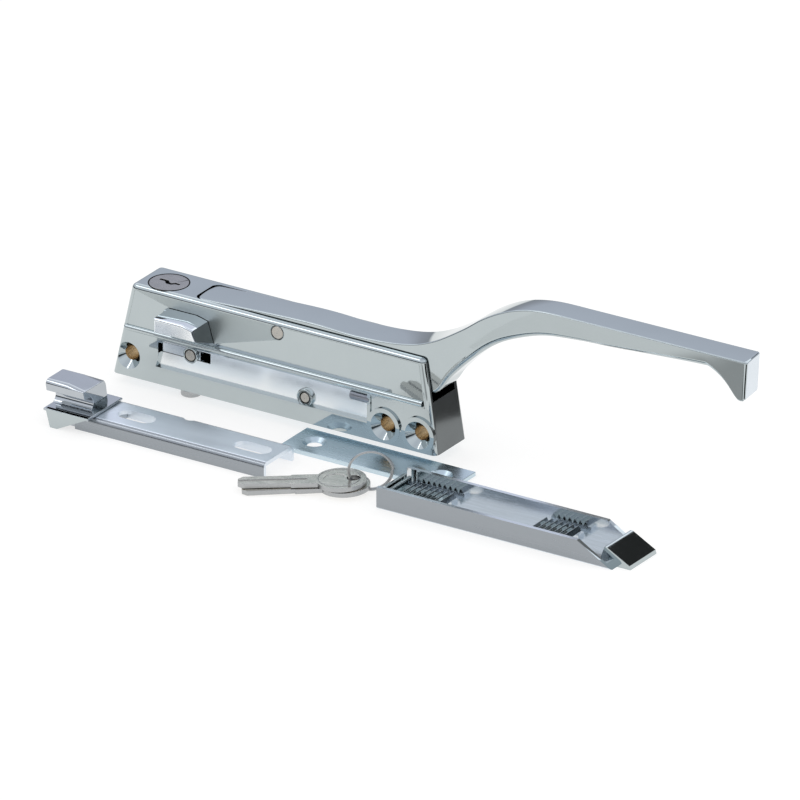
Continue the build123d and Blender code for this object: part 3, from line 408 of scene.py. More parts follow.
def skin(
    name: str,
    rings: Sequence[Sequence[Vector]],
    finishes: Sequence[MetalFinish],
    bands: Sequence[int] = (),
    closed: bool = False,
) -> Mesh:
    """Joins rings of points into one closed skin.

    Args:
        name: Name of the mesh.
        rings: The rings, each with the same number of points.
        finishes: The finishes of its faces.
        bands: Index of the finish from each ring to the next; none means the first finish.
        closed: Whether the last ring joins the first, in place of two end faces.

    Returns:
        The mesh.
    """
    work = bmesh.new()
    made = [[work.verts.new(spot) for spot in ring] for ring in rings]
    paints = list(bands) or [0] * len(made)
    after = made[1:] + (made[:1] if closed else [])
    for near, far, paint in zip(made, after, paints):
        for k, n in enumerate([*range(1, len(near)), 0]):
            work.faces.new((near[k], near[n], far[n], far[k])).material_index = paint
    if not closed:
        work.faces.new(made[0]).material_index = paints[0]
        work.faces.new(made[-1]).material_index = paints[-1]
    bmesh.ops.recalc_face_normals(work, faces=work.faces)
    return as_mesh(name, work, [finish.material() for finish in finishes])


@dataclass(frozen=True)
class FacePaint:
    """A finish for some faces of a piece, chosen by their middles and normals."""

    finish: MetalFinish
    test: FaceTest


def looks(normals: np.ndarray, axis: int, way: int = 1) -> np.ndarray:
    """Says which faces look forwards (1) or backwards (-1) along an axis, 0 for x."""
    return normals[:, axis] * way > FLAT_ON


def inside(middles: np.ndarray, box: tuple[Point, Point]) -> np.ndarray:
    """Says which points lie inside a box, given by its two corners."""
    return np.all((middles > box[0]) & (middles < box[1]), axis=1)


@dataclass(frozen=True)
class WorkedPiece:
    """A CAD solid with its edges broken and its finishes laid on."""

    node: str
    body: str
    slot: Slot
    finish: MetalFinish
    edge_mm: float = 0.25
    paints: tuple[FacePaint, ...] = ()
    trim: Optional[Callable[[Mesh], None]] = None

    def _merged(self) -> Mesh:
        """Copies the node's mesh with its facets joined into whole faces.

        Returns:
            The copy, without materials.
        """
        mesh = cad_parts[self.node].data.copy()
        mesh.materials.clear()
        work = bmesh.new()
        work.from_mesh(mesh)
        bmesh.ops.remove_doubles(work, verts=work.verts, dist=MERGE_DISTANCE)
        bmesh.ops.dissolve_limit(work, angle_limit=FACET_ANGLE, verts=work.verts, edges=work.edges)
        work.to_mesh(mesh)
        work.free()
        if "custom_normal" in mesh.attributes:
            mesh.attributes.remove(mesh.attributes["custom_normal"])
        mesh.name = f"{self.node}_worked"
        return mesh

    def _paint(self, mesh: Mesh) -> None:
        """Gives the mesh its finishes, the main one first.

        Args:
            mesh: The piece's mesh.
        """
        for finish in (self.finish, *(paint.finish for paint in self.paints)):
            mesh.materials.append(finish.material())
        count = len(mesh.polygons)
        middles, normals = np.empty(count * 3), np.empty(count * 3)
        mesh.polygons.foreach_get("center", middles)
        mesh.polygons.foreach_get("normal", normals)
        middles = middles.reshape(-1, 3) / MM + np.array(ORIGIN_MM)
        chosen = np.zeros(count, dtype=np.int32)
        for index, paint in enumerate(self.paints, start=1):
            chosen[paint.test(middles, normals.reshape(-1, 3))] = index
        mesh.polygons.foreach_set("material_index", chosen)

    def build(self) -> Piece:
        """Makes the piece and lets it stand for its node.

        Returns:
            The finished object.
        """
        mesh = self._merged()
        if self.trim:
            self.trim(mesh)
        self._paint(mesh)
        edge = BrokenEdge(self.edge_mm, angle=38.0, miter="MITER_ARC")
        thing = dress(link(f"{self.node}_piece", mesh), edge=edge)
        return ride(thing, self.body, self.slot, self.node)


@dataclass(frozen=True)
class TurnedPiece:
    """A piece turned about an axis along y."""

    node: str
    body: str
    x: float
    z: float

    def rings(self, profile: Iterable[Spot], sides: int = 64) -> list[list[Vector]]:
        """Turns an outline about the axis.

        Args:
            profile: Radius and depth of each ring.
            sides: Points in each ring.

        Returns:
            The rings' points in the shared frame.
        """
        turn = [math.tau * k / sides for k in range(sides)]
        return [[row(self.x + r * math.cos(a), y, self.z + r * math.sin(a)) for a in turn] for r, y in profile]


@dataclass(frozen=True)
class TurnedPin(TurnedPiece):
    """A headed steel pin with a groove round its face."""

    front: float
    back: float
    disc_r: float
    groove_r: float
    head_r: float
    shaft_r: float
    head_depth: float
    groove_depth: float = 0.7
    lip: float = 0.03

    def _profile(self) -> list[tuple[float, float, int]]:
        """Lists the outline from the face's middle to the far end.

        Returns:
            Radius, depth and index of the finish of each ring.
        """
        near, low, crest = self.front, self.front + self.groove_depth, 0.5 * (self.groove_r + self.head_r)
        soft, under = near + self.lip, near + self.head_depth
        return [
            (0.18, near + 0.12, 0),
            (0.26, soft, 0),
            (self.disc_r - 0.12, soft, 0),
            (self.disc_r, near + 0.14, 1),
            (self.disc_r + 0.02, low, 1),
            (self.groove_r - 0.02, low, 1),
            (self.groove_r, near + 0.16, 2),
            (0.5 * (self.groove_r + crest), soft, 2),
            (crest, near, 2),
            (0.5 * (self.head_r + crest), soft, 2),
            (self.head_r, near + 0.18, 2),
            (self.head_r, under, 3),
            (self.shaft_r, under + 0.01, 3),
            (self.shaft_r, self.back, 3),
        ]

    def build(self) -> None:
        """Turns the pin and lets it stand for its node."""
        marks = {"relief_mm": 0.02, "marks": Marks.TURNED, "centre": (self.x, 0.0, self.z)}
        steel = MetalFinish(f"{self.node}_steel", *PIN_STEEL, **marks)
        radii, depths, bands = zip(*self._profile())
        # The groove ring between disc and head takes the near-black painted shade.
        finishes = (steel, GAP_SHADE, CHROME, STAMPED)
        mesh = skin(f"{self.node}_turned", self.rings(zip(radii, depths)), finishes, bands)
        ride(dress(link(f"{self.node}_piece", mesh)), self.body, Slot.PIN, self.node)


@dataclass(frozen=True)
class Collar(TurnedPiece):
    """A cast ring round a pin's head, its outline closed."""

    profile: tuple[Spot, ...]
    sharp: float = 40.0

    def build(self) -> None:
        """Turns the ring, which stands for no node."""
        mesh = skin(self.node, self.rings(self.profile), (CHROME,), closed=True)
        ride(dress(link(self.node, mesh), self.sharp), self.body, Slot.CASTING)


@dataclass(frozen=True)
class Prism:
    """A solid drawn out from an outline, its edges rounded."""

    outline: Sequence[Spot]
    spread: Callable[[float, float, float], Point]
    stations: Sequence[float]
    edge_mm: float

    def mesh(self, name: str, finish: MetalFinish) -> Mesh:
        """Draws the outline through its stations and rounds the edges.

        Args:
            name: Name of the mesh.
            finish: The finish of all its faces.

        Returns:
            The closed mesh.
        """
        rings = [[row(*self.spread(a, b, at)) for a, b in self.outline] for at in self.stations]
        raw = link(name, skin(name, rings, (finish,)))
        thing = dress(raw, CAST_SHARP, BrokenEdge(self.edge_mm, segments=5, angle=33.0))
        made = thing.data
        bpy.data.objects.remove(thing)
        return made


def box(name: str, low: Point, high: Point, edge_mm: float, finish: MetalFinish) -> Mesh:
    """Makes a box with rounded edges.

    Args:
        name: Name of the mesh.
        low: Its corner nearest the origin.
        high: The opposite corner.
        edge_mm: How far its edges are rounded.
        finish: The finish of all its faces.

    Returns:
        The closed mesh.
    """
    (x0, y0, z0), (x1, y1, z1) = low, high
    outline = ((x0, z0), (x1, z0), (x1, z1), (x0, z1))
    return Prism(outline, lambda a, b, at: (a, at, b), (y0, y1), edge_mm).mesh(name, finish)


def joined(name: str, meshes: Sequence[Mesh]) -> Piece:
    """Puts several closed shells into one object.

    Args:
        name: Name of the object.
        meshes: The shells, each with one finish.

    Returns:
        The object.
    """
    work = bmesh.new()
    materials: list[Material] = []
    for mesh in meshes:
        first, material = len(work.faces), mesh.materials[0]
        work.from_mesh(mesh)
        work.faces.ensure_lookup_table()
        if material not in materials:
            materials.append(material)
        for face in work.faces[first:]:
            face.material_index = materials.index(material)
    return dress(link(name, as_mesh(name, work, materials)), CAST_SHARP)


def arc_through(start: Spot, middle: Spot, end: Spot, steps: int = 10) -> list[Spot]:
    """Gives points on the circle arc through three points, the last one included.

    Args:
        start: First point of the arc.
        middle: A point on the arc.
        end: Last point of the arc.
        steps: Number of points after the first.

    Returns:
        The points after the first.
    """
    (ax, ay), (bx, by), (cx, cy) = start, middle, end
    double = 2 * (ax * (by - cy) + bx * (cy - ay) + cx * (ay - by))
    sa, sb, sc = ax * ax + ay * ay, bx * bx + by * by, cx * cx + cy * cy
    ox = (sa * (by - cy) + sb * (cy - ay) + sc * (ay - by)) / double
    oy = (sa * (cx - bx) + sb * (ax - cx) + sc * (bx - ax)) / double
    radius = math.hypot(ax - ox, ay - oy)
    first, mid, last = (math.atan2(y - oy, x - ox) for x, y in (start, middle, end))
    sweep = (last - first) % math.tau
    if (mid - first) % math.tau > sweep:
        sweep -= math.tau
    turns = [first + sweep * k / steps for k in range(1, steps + 1)]
    return [(ox + radius * math.cos(turn), oy + radius * math.sin(turn)) for turn in turns]


@dataclass
class GeometryTree:
    """A Geometry Nodes tree with named inputs, built step by step."""

    name: str
    inputs: dict[str, object]

    def __post_init__(self) -> None:
        """Makes the empty tree with its inputs and its output."""
        self.graph = Graph(bpy.data.node_groups.new(self.name, "GeometryNodeTree"), "GeometryNode")
        sockets = self.graph.tree.interface
        for label, value in self.inputs.items():
            sockets.new_socket(name=label, in_out="INPUT", socket_type=SOCKET_KINDS[type(value)])
        sockets.new_socket(name="Geometry", in_out="OUTPUT", socket_type="NodeSocketGeometry")
        self.out = self.graph.tree.nodes.new("NodeGroupInput").outputs

    def run(self, name: str, geometry: Node, finish: MetalFinish) -> Piece:
        """Ends the tree in real geometry with its material and evaluates it on an empty mesh.

        Args:
            name: Name of the resulting object.
            geometry: The node that makes the geometry.
            finish: The finish of all its faces.

        Returns:
            The object, its result a plain mesh.
        """
        real = self.graph.add("RealizeInstances", {"Geometry": geometry})
        dressed = self.graph.add("SetMaterial", {"Geometry": real, "Material": finish.material()})
        sink = self.graph.tree.nodes.new("NodeGroupOutput")
        self.graph.feed(sink.inputs[0], dressed)
        thing = link(name, bpy.data.meshes.new(name))
        modifier = thing.modifiers.new(self.name, "NODES")
        modifier.node_group = self.graph.tree
        for item in self.graph.tree.interface.items_tree:
            if item.in_out == "INPUT":
                modifier[item.identifier] = self.inputs[item.name]
        return apply_modifiers(thing)


@dataclass(frozen=True)
class Coil:
    """Wire wound round an axis, by Geometry Nodes."""

    name: str
    radius_mm: float
    wire_mm: float
    turns: float
    length_mm: float
    place: Matrix
    finish: MetalFinish
    steps: int = 48
    sides: int = 12
    spread_mm: float = 0.0

    def build(self) -> Piece:
        """Winds the coil along its local z and puts it in place.

        Returns:
            The object.
        """
        shift, turn, _ = self.place.decompose()
        inputs = {
            "Turns": float(self.turns),
            "Coil Radius": self.radius_mm * MM,
            "End Coil Radius": (self.radius_mm + self.spread_mm) * MM,
            "Length": self.length_mm * MM,
            "Wire Radius": self.wire_mm * MM,
            "Place": tuple(shift),
        }
        tree = GeometryTree(f"{self.name}_coil", inputs)
        out, add = tree.out, tree.graph.add
        feeds = {"Resolution": self.steps, "Rotations": out["Turns"], "Height": out["Length"]}
        feeds.update({"Start Radius": out["Coil Radius"], "End Radius": out["End Coil Radius"]})
        spiral = add("CurveSpiral", feeds)
        wire = add("CurvePrimitiveCircle", {"Resolution": self.sides, "Radius": out["Wire Radius"]})
        tube = add("CurveToMesh", {"Curve": spiral, "Profile Curve": wire, "Fill Caps": True})
        placed = add("Transform", {"Geometry": tube, "Translation": out["Place"], "Rotation": turn.to_euler()})
        return tree.run(self.name, add("SetShadeSmooth", {"Geometry": placed}), self.finish)


@dataclass(frozen=True)
class ToothRow:
    """Serrations across a pad, by Geometry Nodes."""

    name: str
    start_mm: Point
    count: int
    pitch_mm: float
    width_mm: float
    height_mm: float
    finish: MetalFinish
    crest_mm: float = 0.22
    steep: float = 0.5
    turn: Point = (QUARTER, -QUARTER, 0.0)

    def build(self) -> Piece:
        """Sets the ridges side by side along x.

        Returns:
            The object with all ridges of the pad.
        """
        radius = self.pitch_mm / math.sqrt(3)
        lift = self.height_mm / (1.5 * radius)
        inputs = {
            "Count": self.count,
            "Pitch": (self.pitch_mm * MM, 0.0, 0.0),
            "Start": tuple(row(*self.start_mm)),
            "Ridge Length": self.width_mm * MM,
            "Ridge Radius": radius * MM,
        }
        tree = GeometryTree(f"{self.name}_teeth", inputs)
        out, add = tree.out, tree.graph.add
        places = {"Count": out["Count"], "Start Location": out["Start"], "Offset": out["Pitch"]}
        line = add("MeshLine", places)
        sizes = {"Vertices": 3, "Radius": out["Ridge Radius"], "Depth": out["Ridge Length"]}
        ridge = add("MeshCylinder", sizes)
        upright = add("Transform", {"Geometry": ridge, "Rotation": self.turn})
        squat = add("Transform", {"Geometry": upright, "Scale": (1.0, 1.0, lift)})
        rows = add("InstanceOnPoints", {"Points": line, "Instance": squat})
        thing = dress(tree.run(self.name, rows, self.finish), edge=BrokenEdge(self.crest_mm))
        # The steep flanks take the darker steel as painted shade.
        thing.data.materials.append(TOOTH_FLANK_SHADE.material())
        for face in thing.data.polygons:
            if abs(face.normal.x) > self.steep:
                face.material_index = 1
        return thing


@dataclass
class Housing:
    """Die-cast housing with its cover, cover screws, lugs and fixed pins."""

    pocket: tuple[Point, Point] = ((20.0, 1.6, 7.0), (116.0, 2.0, 18.4))
    hollow: tuple[Point, Point] = ((12.85, 2.85, 0.1), (116.15, 18.55, 35.1))
    screw_holes: tuple[Spot, ...] = ((7.4, 8.7), (123.5, 6.9), (139.0, 6.9))
    hole_r: float = 3.05
    sink_depth: float = 2.75
    front: tuple[float, float, float] = (-0.995, 1.2, 21.3)
    # Beyond this x, faces looking along x take the painted dark reflection.
    grip_end: float = 140.0
    end_lean: float = 8.2
    height: float = 38.5
    rail: tuple[float, float, float] = (20.3, 1.3, 1.8)
    rail_reach: float = 0.5
    end_round: float = 2.0
    rod_end: float = 116.8
    cover_thick: float = 0.7
    groove_plates: tuple[tuple[float, float, float, float, float], ...] = (
        (116.0, 117.4, 15.0, 17.1, 0.37),
        (117.4, 132.3, 14.2, 17.8, 0.89),
    )
    plate_edge: float = 0.02
    pins: tuple[TurnedPin, ...] = (
        TurnedPin(
            "handle_pin", "latch_body", x=75.0, z=34.0, front=0.72, back=21.75,
            disc_r=2.55, groove_r=2.75, head_r=3.0, shaft_r=3.0, head_depth=2.0,
        ),
        TurnedPin(
            "guide_pin", "latch_body", x=87.5, z=9.9, front=0.72, back=20.88,
            disc_r=1.95, groove_r=2.4, head_r=2.74, shaft_r=2.74, head_depth=2.0,
        ),
    )
    collar: Collar = Collar(
        "guide_pin_collar", "latch_body", x=87.5, z=9.9,
        profile=(
            (2.78, 0.9), (2.9, 0.66), (3.05, 0.5), (3.25, 0.42), (3.45, 0.5),
            (3.62, 0.7), (3.7, 1.0), (3.7, 1.9), (2.78, 1.9),
        ),
    )

    def _bore_faces(self, middles: np.ndarray, normals: np.ndarray) -> np.ndarray:
        """Chooses the unplated insides of the screw holes.

        Args:
            middles: The faces' middles in the latch's millimetres.
            normals: The faces' normals.

        Returns:
            True for each such face.
        """
        chosen = np.zeros(len(middles), dtype=bool)
        for x, z in self.screw_holes:
            chosen |= np.hypot(middles[:, 0] - x, middles[:, 2] - z) < self.hole_r
        return chosen & (middles[:, 1] > self.sink_depth) & (np.abs(normals[:, 1]) < FLAT_ON)

    def _trim_rail(self, mesh: Mesh) -> None:
        """Ends the rail where the flat of the front face begins.

        Args:
            mesh: The housing's mesh.
        """
        middle_z, half, depth = self.rail
        for vertex in mesh.vertices:
            spot = vertex.co / MM + Vector(ORIGIN_MM)
            edge = self.end_lean * spot.z / self.height
            if spot.x < edge - self.rail_reach and spot.y < depth and abs(spot.z - middle_z) < half:
                vertex.co.x += (edge + self.end_round - spot.x) * MM

    def _shorten_rod(self, mesh: Mesh) -> None:
        """Ends the rod inside the pocket's wall.

        Args:
            mesh: The rod's mesh.
        """
        for vertex in mesh.vertices:
            beyond = vertex.co.x / MM + ORIGIN_MM[0] - self.rod_end
            if beyond > 0:
                vertex.co.x -= beyond * MM

    def _groove_cover(self) -> None:
        """Closes the rod's groove in the front face, beyond the pocket."""
        plates = []
        for index, (x0, x1, z0, z1, front) in enumerate(self.groove_plates):
            low, high = (x0, front, z0), (x1, front + self.cover_thick, z1)
            plates.append(box(f"groove_plate_{index}", low, high, self.plate_edge, CHROME))
        ride(joined("groove_cover", plates), "latch_body", Slot.CASTING)

    def build(self) -> None:
        """Makes the housing and what is fixed to it."""
        flat, depth, low = self.front
        paints = (
            # The grip end's faces take the painted dark reflection.
            FacePaint(GRIP_END_SHADE, lambda mids, ways: looks(ways, 0) & (mids[:, 0] > self.grip_end)),
            FacePaint(FACE, lambda mids, ways: (ways[:, 1] < flat) & (mids[:, 1] < depth) & (mids[:, 2] > low)),
            FacePaint(AS_CAST, lambda mids, ways: inside(mids, self.hollow)),
            # The pocket's back wall takes the brightened chrome as painted light.
            FacePaint(LIT_CHROME, lambda mids, ways: looks(ways, 1, -1) & inside(mids, self.pocket)),
            FacePaint(BARE_BORE, self._bore_faces),
        )
        for piece in (
            WorkedPiece("housing", "latch_body", Slot.CASTING, CHROME, 0.3, paints, self._trim_rail),
            WorkedPiece("base_cover", "latch_body", Slot.ZINC, ZINC, 0.15),
            WorkedPiece("cover_screws", "latch_body", Slot.PIN, STAMPED),
            WorkedPiece("cover_lugs", "latch_body", Slot.PIN, STAMPED, 0.35),
            *self.pins,
            self.collar,
            WorkedPiece("guide_rod", "latch_body", Slot.PIN, SPRING_WIRE, 0.2, trim=self._shorten_rod),
            WorkedPiece("crank_pin", "latch_body", Slot.PIN, STAMPED, 0.2),
        ):
            piece.build()
        self._groove_cover()


@dataclass(frozen=True)
class Section:
    """One cross-section of the handle: its ends in side view and its rounding."""

    top: Spot
    under: Spot
    half_width: float
    lower_r: float
    upper_r: float = 0.6
    crown: float = 0.2
    arc_steps: int = 6
    crown_steps: int = 8

    def ring(self, middle_y: float) -> list[Vector]:
        """Gives the section's outline, counter-clockwise seen from the tip.

        Args:
            middle_y: The section's middle, in the latch's y.

        Returns:
            The outline's points in the shared frame.
        """
        along = np.array(self.top) - np.array(self.under)
        height = float(np.linalg.norm(along))
        along = along / height
        half, low, high = self.half_width, self.lower_r, self.upper_r
        angles = [QUARTER * step / self.arc_steps for step in range(self.arc_steps + 1)]
        flat = [(half - low + low * math.sin(a), low - low * math.cos(a)) for a in angles]
        rise = height - self.crown - high
        flat += [(half - high + high * math.cos(a), rise + high * math.sin(a)) for a in angles]
        mirrored = [(-across, up) for across, up in reversed(flat)]
        reach = half - high
        for step in range(1, self.crown_steps):
            across = reach * (1 - 2 * step / self.crown_steps)
            flat.append((across, height - self.crown * (across / reach) ** 2))
        base_x, base_z = self.under
        return [
            row(base_x + along[0] * up, middle_y + across, base_z + along[1] * up)
            for across, up in (*flat, *mirrored)
        ]


def curve_through(points: Sequence[Spot], count: int, dense_steps: int = 24) -> np.ndarray:
    """Runs a smooth curve through points of a side view.

    Args:
        points: The points to pass through.
        count: How many points to give back.
        dense_steps: Steps from one point to the next before they are evened out.

    Returns:
        Points evenly spaced along the curve.
    """
    spots = np.array(points, float)
    spots = np.vstack((2 * spots[0] - spots[1], spots, 2 * spots[-1] - spots[-2]))
    dense = []
    for before, here, there, after in zip(spots, spots[1:], spots[2:], spots[3:]):
        for step in np.linspace(0, 1, dense_steps, endpoint=False):
            a = 2 * here
            b = there - before
            c = 2 * before - 5 * here + 4 * there - after
            d = -before + 3 * here - 3 * there + after
            dense.append(0.5 * (a + b * step + c * step**2 + d * step**3))
    dense.append(spots[-2])
    line = np.array(dense)
    reach = np.concatenate(([0], np.cumsum(np.linalg.norm(np.diff(line, axis=0), axis=1))))
    wanted = np.linspace(0, reach[-1], count)
    return np.stack([np.interp(wanted, reach, line[:, axis]) for axis in (0, 1)], axis=1)


@dataclass
class PullHandle:
    """Offset handle: a cast arm whose section flows into the raised grip."""

    middle_y: float = 10.7
    arm_half: float = 7.3
    grip_half: float = 6.1
    leaf: tuple[float, float, float] = (36.6, 48.2, 36.8)
    leaf_corner_r: float = 2.6
    leaf_gap: float = 0.02
    leaf_steps: int = 6
    arm_bottom: float = 24.0
    arm_end: float = 120.0
    arm_count: int = 26
    half_count: int = 61
    line_count: int = 600
    under_r: tuple[float, float, float] = (0.2, 0.5, 2.8)
    under_ease: tuple[float, float] = (134.0, 154.0)
    thin: tuple[float, float, float] = (282.0, 14.0, 0.25)
    taper: tuple[float, float] = (150.0, 190.0)
    tip_r: float = 1.3
    tip_steps: int = 5
    tip_under_r: float = 0.8
    tip_fall: tuple[float, float] = (0.4, 0.6)
    # Where the tip's end face takes its painted reflection tone: beyond this x, and facing x more than this.
    tip_face: tuple[float, float] = (280.0, 0.95)
    tip_skew: float = 1.5
    skew_from: float = 262.0
    foot: tuple[Point, Point] = ((71.5, 4.2, 13.0), (77.5, 13.6, 25.0))
    foot_edge: float = 0.5
    top_line: tuple[Spot, ...] = (
        (36.6, 38.5), (83.7, 40.5), (108.9, 40.0), (129.0, 41.5), (142.7, 45.6), (156.3, 53.7),
        (165.4, 60.3), (174.5, 65.2), (183.6, 68.2), (194.0, 69.6), (210.0, 69.75),
    )
    neck_under: tuple[Spot, ...] = (
        (131.0, 24.0), (144.0, 24.0), (151.4, 32.6), (160.4, 41.7), (169.5, 49.3),
        (178.6, 54.2), (192.2, 58.7), (208.0, 60.6), (222.0, 61.4),
    )
    grip_top: tuple[Spot, Spot] = ((210.0, 69.75), (284.2, 70.3))
    grip_under: tuple[Spot, ...] = (
        (222.0, 61.4), (262.0, 63.8), (268.0, 63.2), (274.0, 59.8), (279.0, 54.6), (280.8, 53.5), (283.2, 54.0),
    )

    def _half_width(self, x: float) -> float:
        """Gives half the handle's width, with the arm's rounded end and the grip's taper.

        Args:
            x: Millimetres from the lock end.

        Returns:
            Half the width in millimetres.
        """
        into = x - self.leaf[0]
        if into < self.leaf_corner_r:
            rest = self.leaf_corner_r - into
            return self.arm_half - self.leaf_corner_r + math.sqrt(max(self.leaf_corner_r**2 - rest**2, 0.0))
        share = min(max((x - self.taper[0]) / (self.taper[1] - self.taper[0]), 0.0), 1.0)
        share = share * share * (3 - 2 * share)
        return self.arm_half + (self.grip_half - self.arm_half) * share

    def _arm(self) -> list[Section]:
        """Lists the sections from the leaf to the neck's end.

        Returns:
            The sections, the leaf first.
        """
        line = curve_through(self.top_line, self.line_count)
        start, leaf_end, leaf_bottom = self.leaf
        leaf_r, arm_r, grip_r = self.under_r
        ease_from, ease_to = self.under_ease

        def section(x: float, under: Spot, half: float, low: float) -> Section:
            """Makes the section whose top stands at x on the top line."""
            return Section((x, float(np.interp(x, line[:, 0], line[:, 1]))), under, half, low)

        turns = [QUARTER * k / self.leaf_steps for k in range(self.leaf_steps + 1)]
        leaf_xs = [start + self.leaf_corner_r * (1 - math.cos(turn)) for turn in turns]
        leaf_xs.append(leaf_end - self.leaf_gap)
        made = [section(x, (x, leaf_bottom), self._half_width(x), leaf_r) for x in leaf_xs]
        arm_xs = [float(x) for x in np.linspace(leaf_end, self.arm_end, self.arm_count)]
        made += [section(x, (x, self.arm_bottom), self.arm_half, arm_r) for x in arm_xs]
        tops = np.linspace(self.arm_end, self.grip_top[0][0], self.half_count)[1:]
        for x, under in zip(tops, curve_through(self.neck_under, self.half_count)[1:]):
            ease = min(max((float(under[0]) - ease_from) / (ease_to - ease_from), 0.0), 1.0)
            low = arm_r + (grip_r - arm_r) * ease
            made.append(section(float(x), (float(under[0]), float(under[1])), self._half_width(float(x)), low))
        return made

    def _grip(self) -> list[Section]:
        """Lists the sections from the neck's end to the rounded tip.

        Returns:
            The sections, the tip last.
        """
        made = []
        (top_from, top_low), (top_to, top_high) = self.grip_top
        (under_from, _), (foot_x, foot_z) = self.grip_under[0], self.grip_under[-1]
        thin_from, thin_over, thinnest = self.thin
        for under in curve_through(self.grip_under, self.half_count)[1:]:
            under_x = float(under[0])
            top_x = float(np.interp(under_x, (under_from, foot_x), (top_from, top_to)))
            top = (top_x, float(np.interp(top_x, (top_from, top_to), (top_low, top_high))))
            low = self.under_r[2] * min(1.0, max(thinnest, (thin_from - under_x) / thin_over))
            made.append(Section(top, (under_x, float(under[1])), self.grip_half, low))
        top_x, top_z = made.pop().top
        for step in range(self.tip_steps + 1):
            turn = QUARTER * step / self.tip_steps
            back, inset = self.tip_r * (1 - math.sin(turn)), self.tip_r * (1 - math.cos(turn))
            top = (top_x - back, top_z - self.tip_fall[0] * inset)
            under = (foot_x - back, foot_z + self.tip_fall[1] * inset)
            made.append(Section(top, under, self.grip_half - inset, self.tip_under_r))
        return made

    def _skew(self, mesh: Mesh) -> None:
        """Leans the tip's end face, its far side a little shorter.

        Args:
            mesh: The handle's skin.
        """
        for vertex in mesh.vertices:
            x, y = (vertex.co[axis] / MM + ORIGIN_MM[axis] for axis in (0, 1))
            share = max(0.0, (x - self.skew_from) / (self.grip_top[1][0] - self.skew_from))
            far = (y - self.middle_y + self.grip_half) / (2 * self.grip_half)
            vertex.co.x -= self.tip_skew * share * far * MM

    def _shell(self) -> Mesh:
        """Joins the sections into one closed skin.

        Returns:
            The skin's mesh.
        """
        rings = [part.ring(self.middle_y) for part in (*self._arm(), *self._grip())]
        mesh = skin("handle_skin", rings, (CHROME, SHEET))
        # The tip's end face takes the plated sheet finish as a painted reflection tone.
        far, flat = self.tip_face
        for face in mesh.polygons:
            if face.normal.x > flat and face.center.x / MM + ORIGIN_MM[0] > far:
                face.material_index = 1
        self._skew(mesh)
        return mesh

    def _foot(self) -> Mesh:
        """Makes the foot that pushes the draw bar, below the arm.

        Returns:
            The foot's mesh.
        """
        work = bmesh.new()
        low, high = (row(*corner) for corner in self.foot)
        bmesh.ops.create_cube(work, size=1.0)
        for vertex in work.verts:
            vertex.co = Vector((low[k] if vertex.co[k] < 0 else high[k]) for k in range(3))
        edges = work.edges[:]
        bmesh.ops.bevel(work, geom=edges, offset=self.foot_edge * MM, segments=3, affect="EDGES", profile=0.5)
        return as_mesh("handle_foot", work, (AS_CAST.material(),))

    def build(self) -> None:
        """Makes the handle and its foot."""
        grip = dress(link("handle_grip_and_arm", self._shell()), CAST_SHARP)
        ride(grip, "handle_body", Slot.CASTING, "handle")
        ride(link("handle_foot", self._foot()), "handle_body", Slot.CASTING)


@dataclass(frozen=True)
class PushSpring:
    """A wound spring of fixed length at its seat."""

    node: str
    joint: str
    seat: Point
    axis: Point
    turn: tuple[float, str]
    length: float
    radius: float
    keep: float
    wire: float = 0.35
    turns: int = 9
    inset: float = 0.4

    def build(self) -> None:
        """Winds the spring and lets it stand for its node."""
        seat, axis = np.array(self.seat), np.array(self.axis)
        place = Matrix.Translation(row(*(seat + axis * self.inset))) @ spin(*self.turn)
        length = self.length - 2 * self.inset
        coil = Coil(f"{self.node}_coil", self.radius, self.wire, self.turns, length, place, SPRING_WIRE).build()
        ride(coil, "latch_body", Slot.SPRING, self.node)
        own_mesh(coil)


@dataclass
class BoltTrain:
    """Spring bolt, bell crank, draw bar, their pins and their springs."""

    # Bolt faces in front of near_y that face the viewer take painted light; faces looking along x in front of
    # side_y take painted shade.
    near_y: float = -9.0
    side_y: float = 6.0
    near_flat: float = 0.98
    draw_pin: TurnedPin = TurnedPin(
        "draw_pin", "draw_body", x=35.4, z=15.0, front=0.56, back=17.45,
        disc_r=2.1, groove_r=2.6, head_r=3.24, shaft_r=1.75, head_depth=1.05,
    )
    springs: tuple[PushSpring, ...] = (
        PushSpring(
            "bolt_spring", "bolt_slide", seat=(32.0, -2.0, 27.4), axis=(0, 1, 0), turn=(-90, "X"),
            length=20.4, radius=2.2, keep=0.53,
        ),
        PushSpring(
            "draw_spring", "draw_slide", seat=(96.0, 16.05, 2.45), axis=(1, 0, 0), turn=(90, "Y"),
            length=20.0, radius=1.5, keep=0.88,
        ),
    )

    def build(self) -> None:
        """Makes the moving pieces behind the pocket and the bolt in its window."""
        # The bolt is brightened as a painted highlight, its near faces take painted light and its ends painted
        # shade.
        near = FacePaint(LIT_CHROME, lambda mids, ways: (ways[:, 1] < -self.near_flat) & (mids[:, 1] < self.near_y))
        side = FacePaint(BOLT_SIDE_SHADE, lambda mids, ways: looks(ways, 0) & (mids[:, 1] < self.side_y))
        for piece in (
            WorkedPiece("bolt", "bolt_body", Slot.CASTING, BOLT_HIGHLIGHT, 0.3, (near, side)),
            WorkedPiece("bell_crank", "crank_body", Slot.PIN, STAMPED),
            WorkedPiece("draw_bar", "draw_body", Slot.PIN, STAMPED),
            self.draw_pin,
            WorkedPiece("slide_block", "draw_body", Slot.SHEET, SHEET, 0.15),
            *self.springs,
        ):
            piece.build()


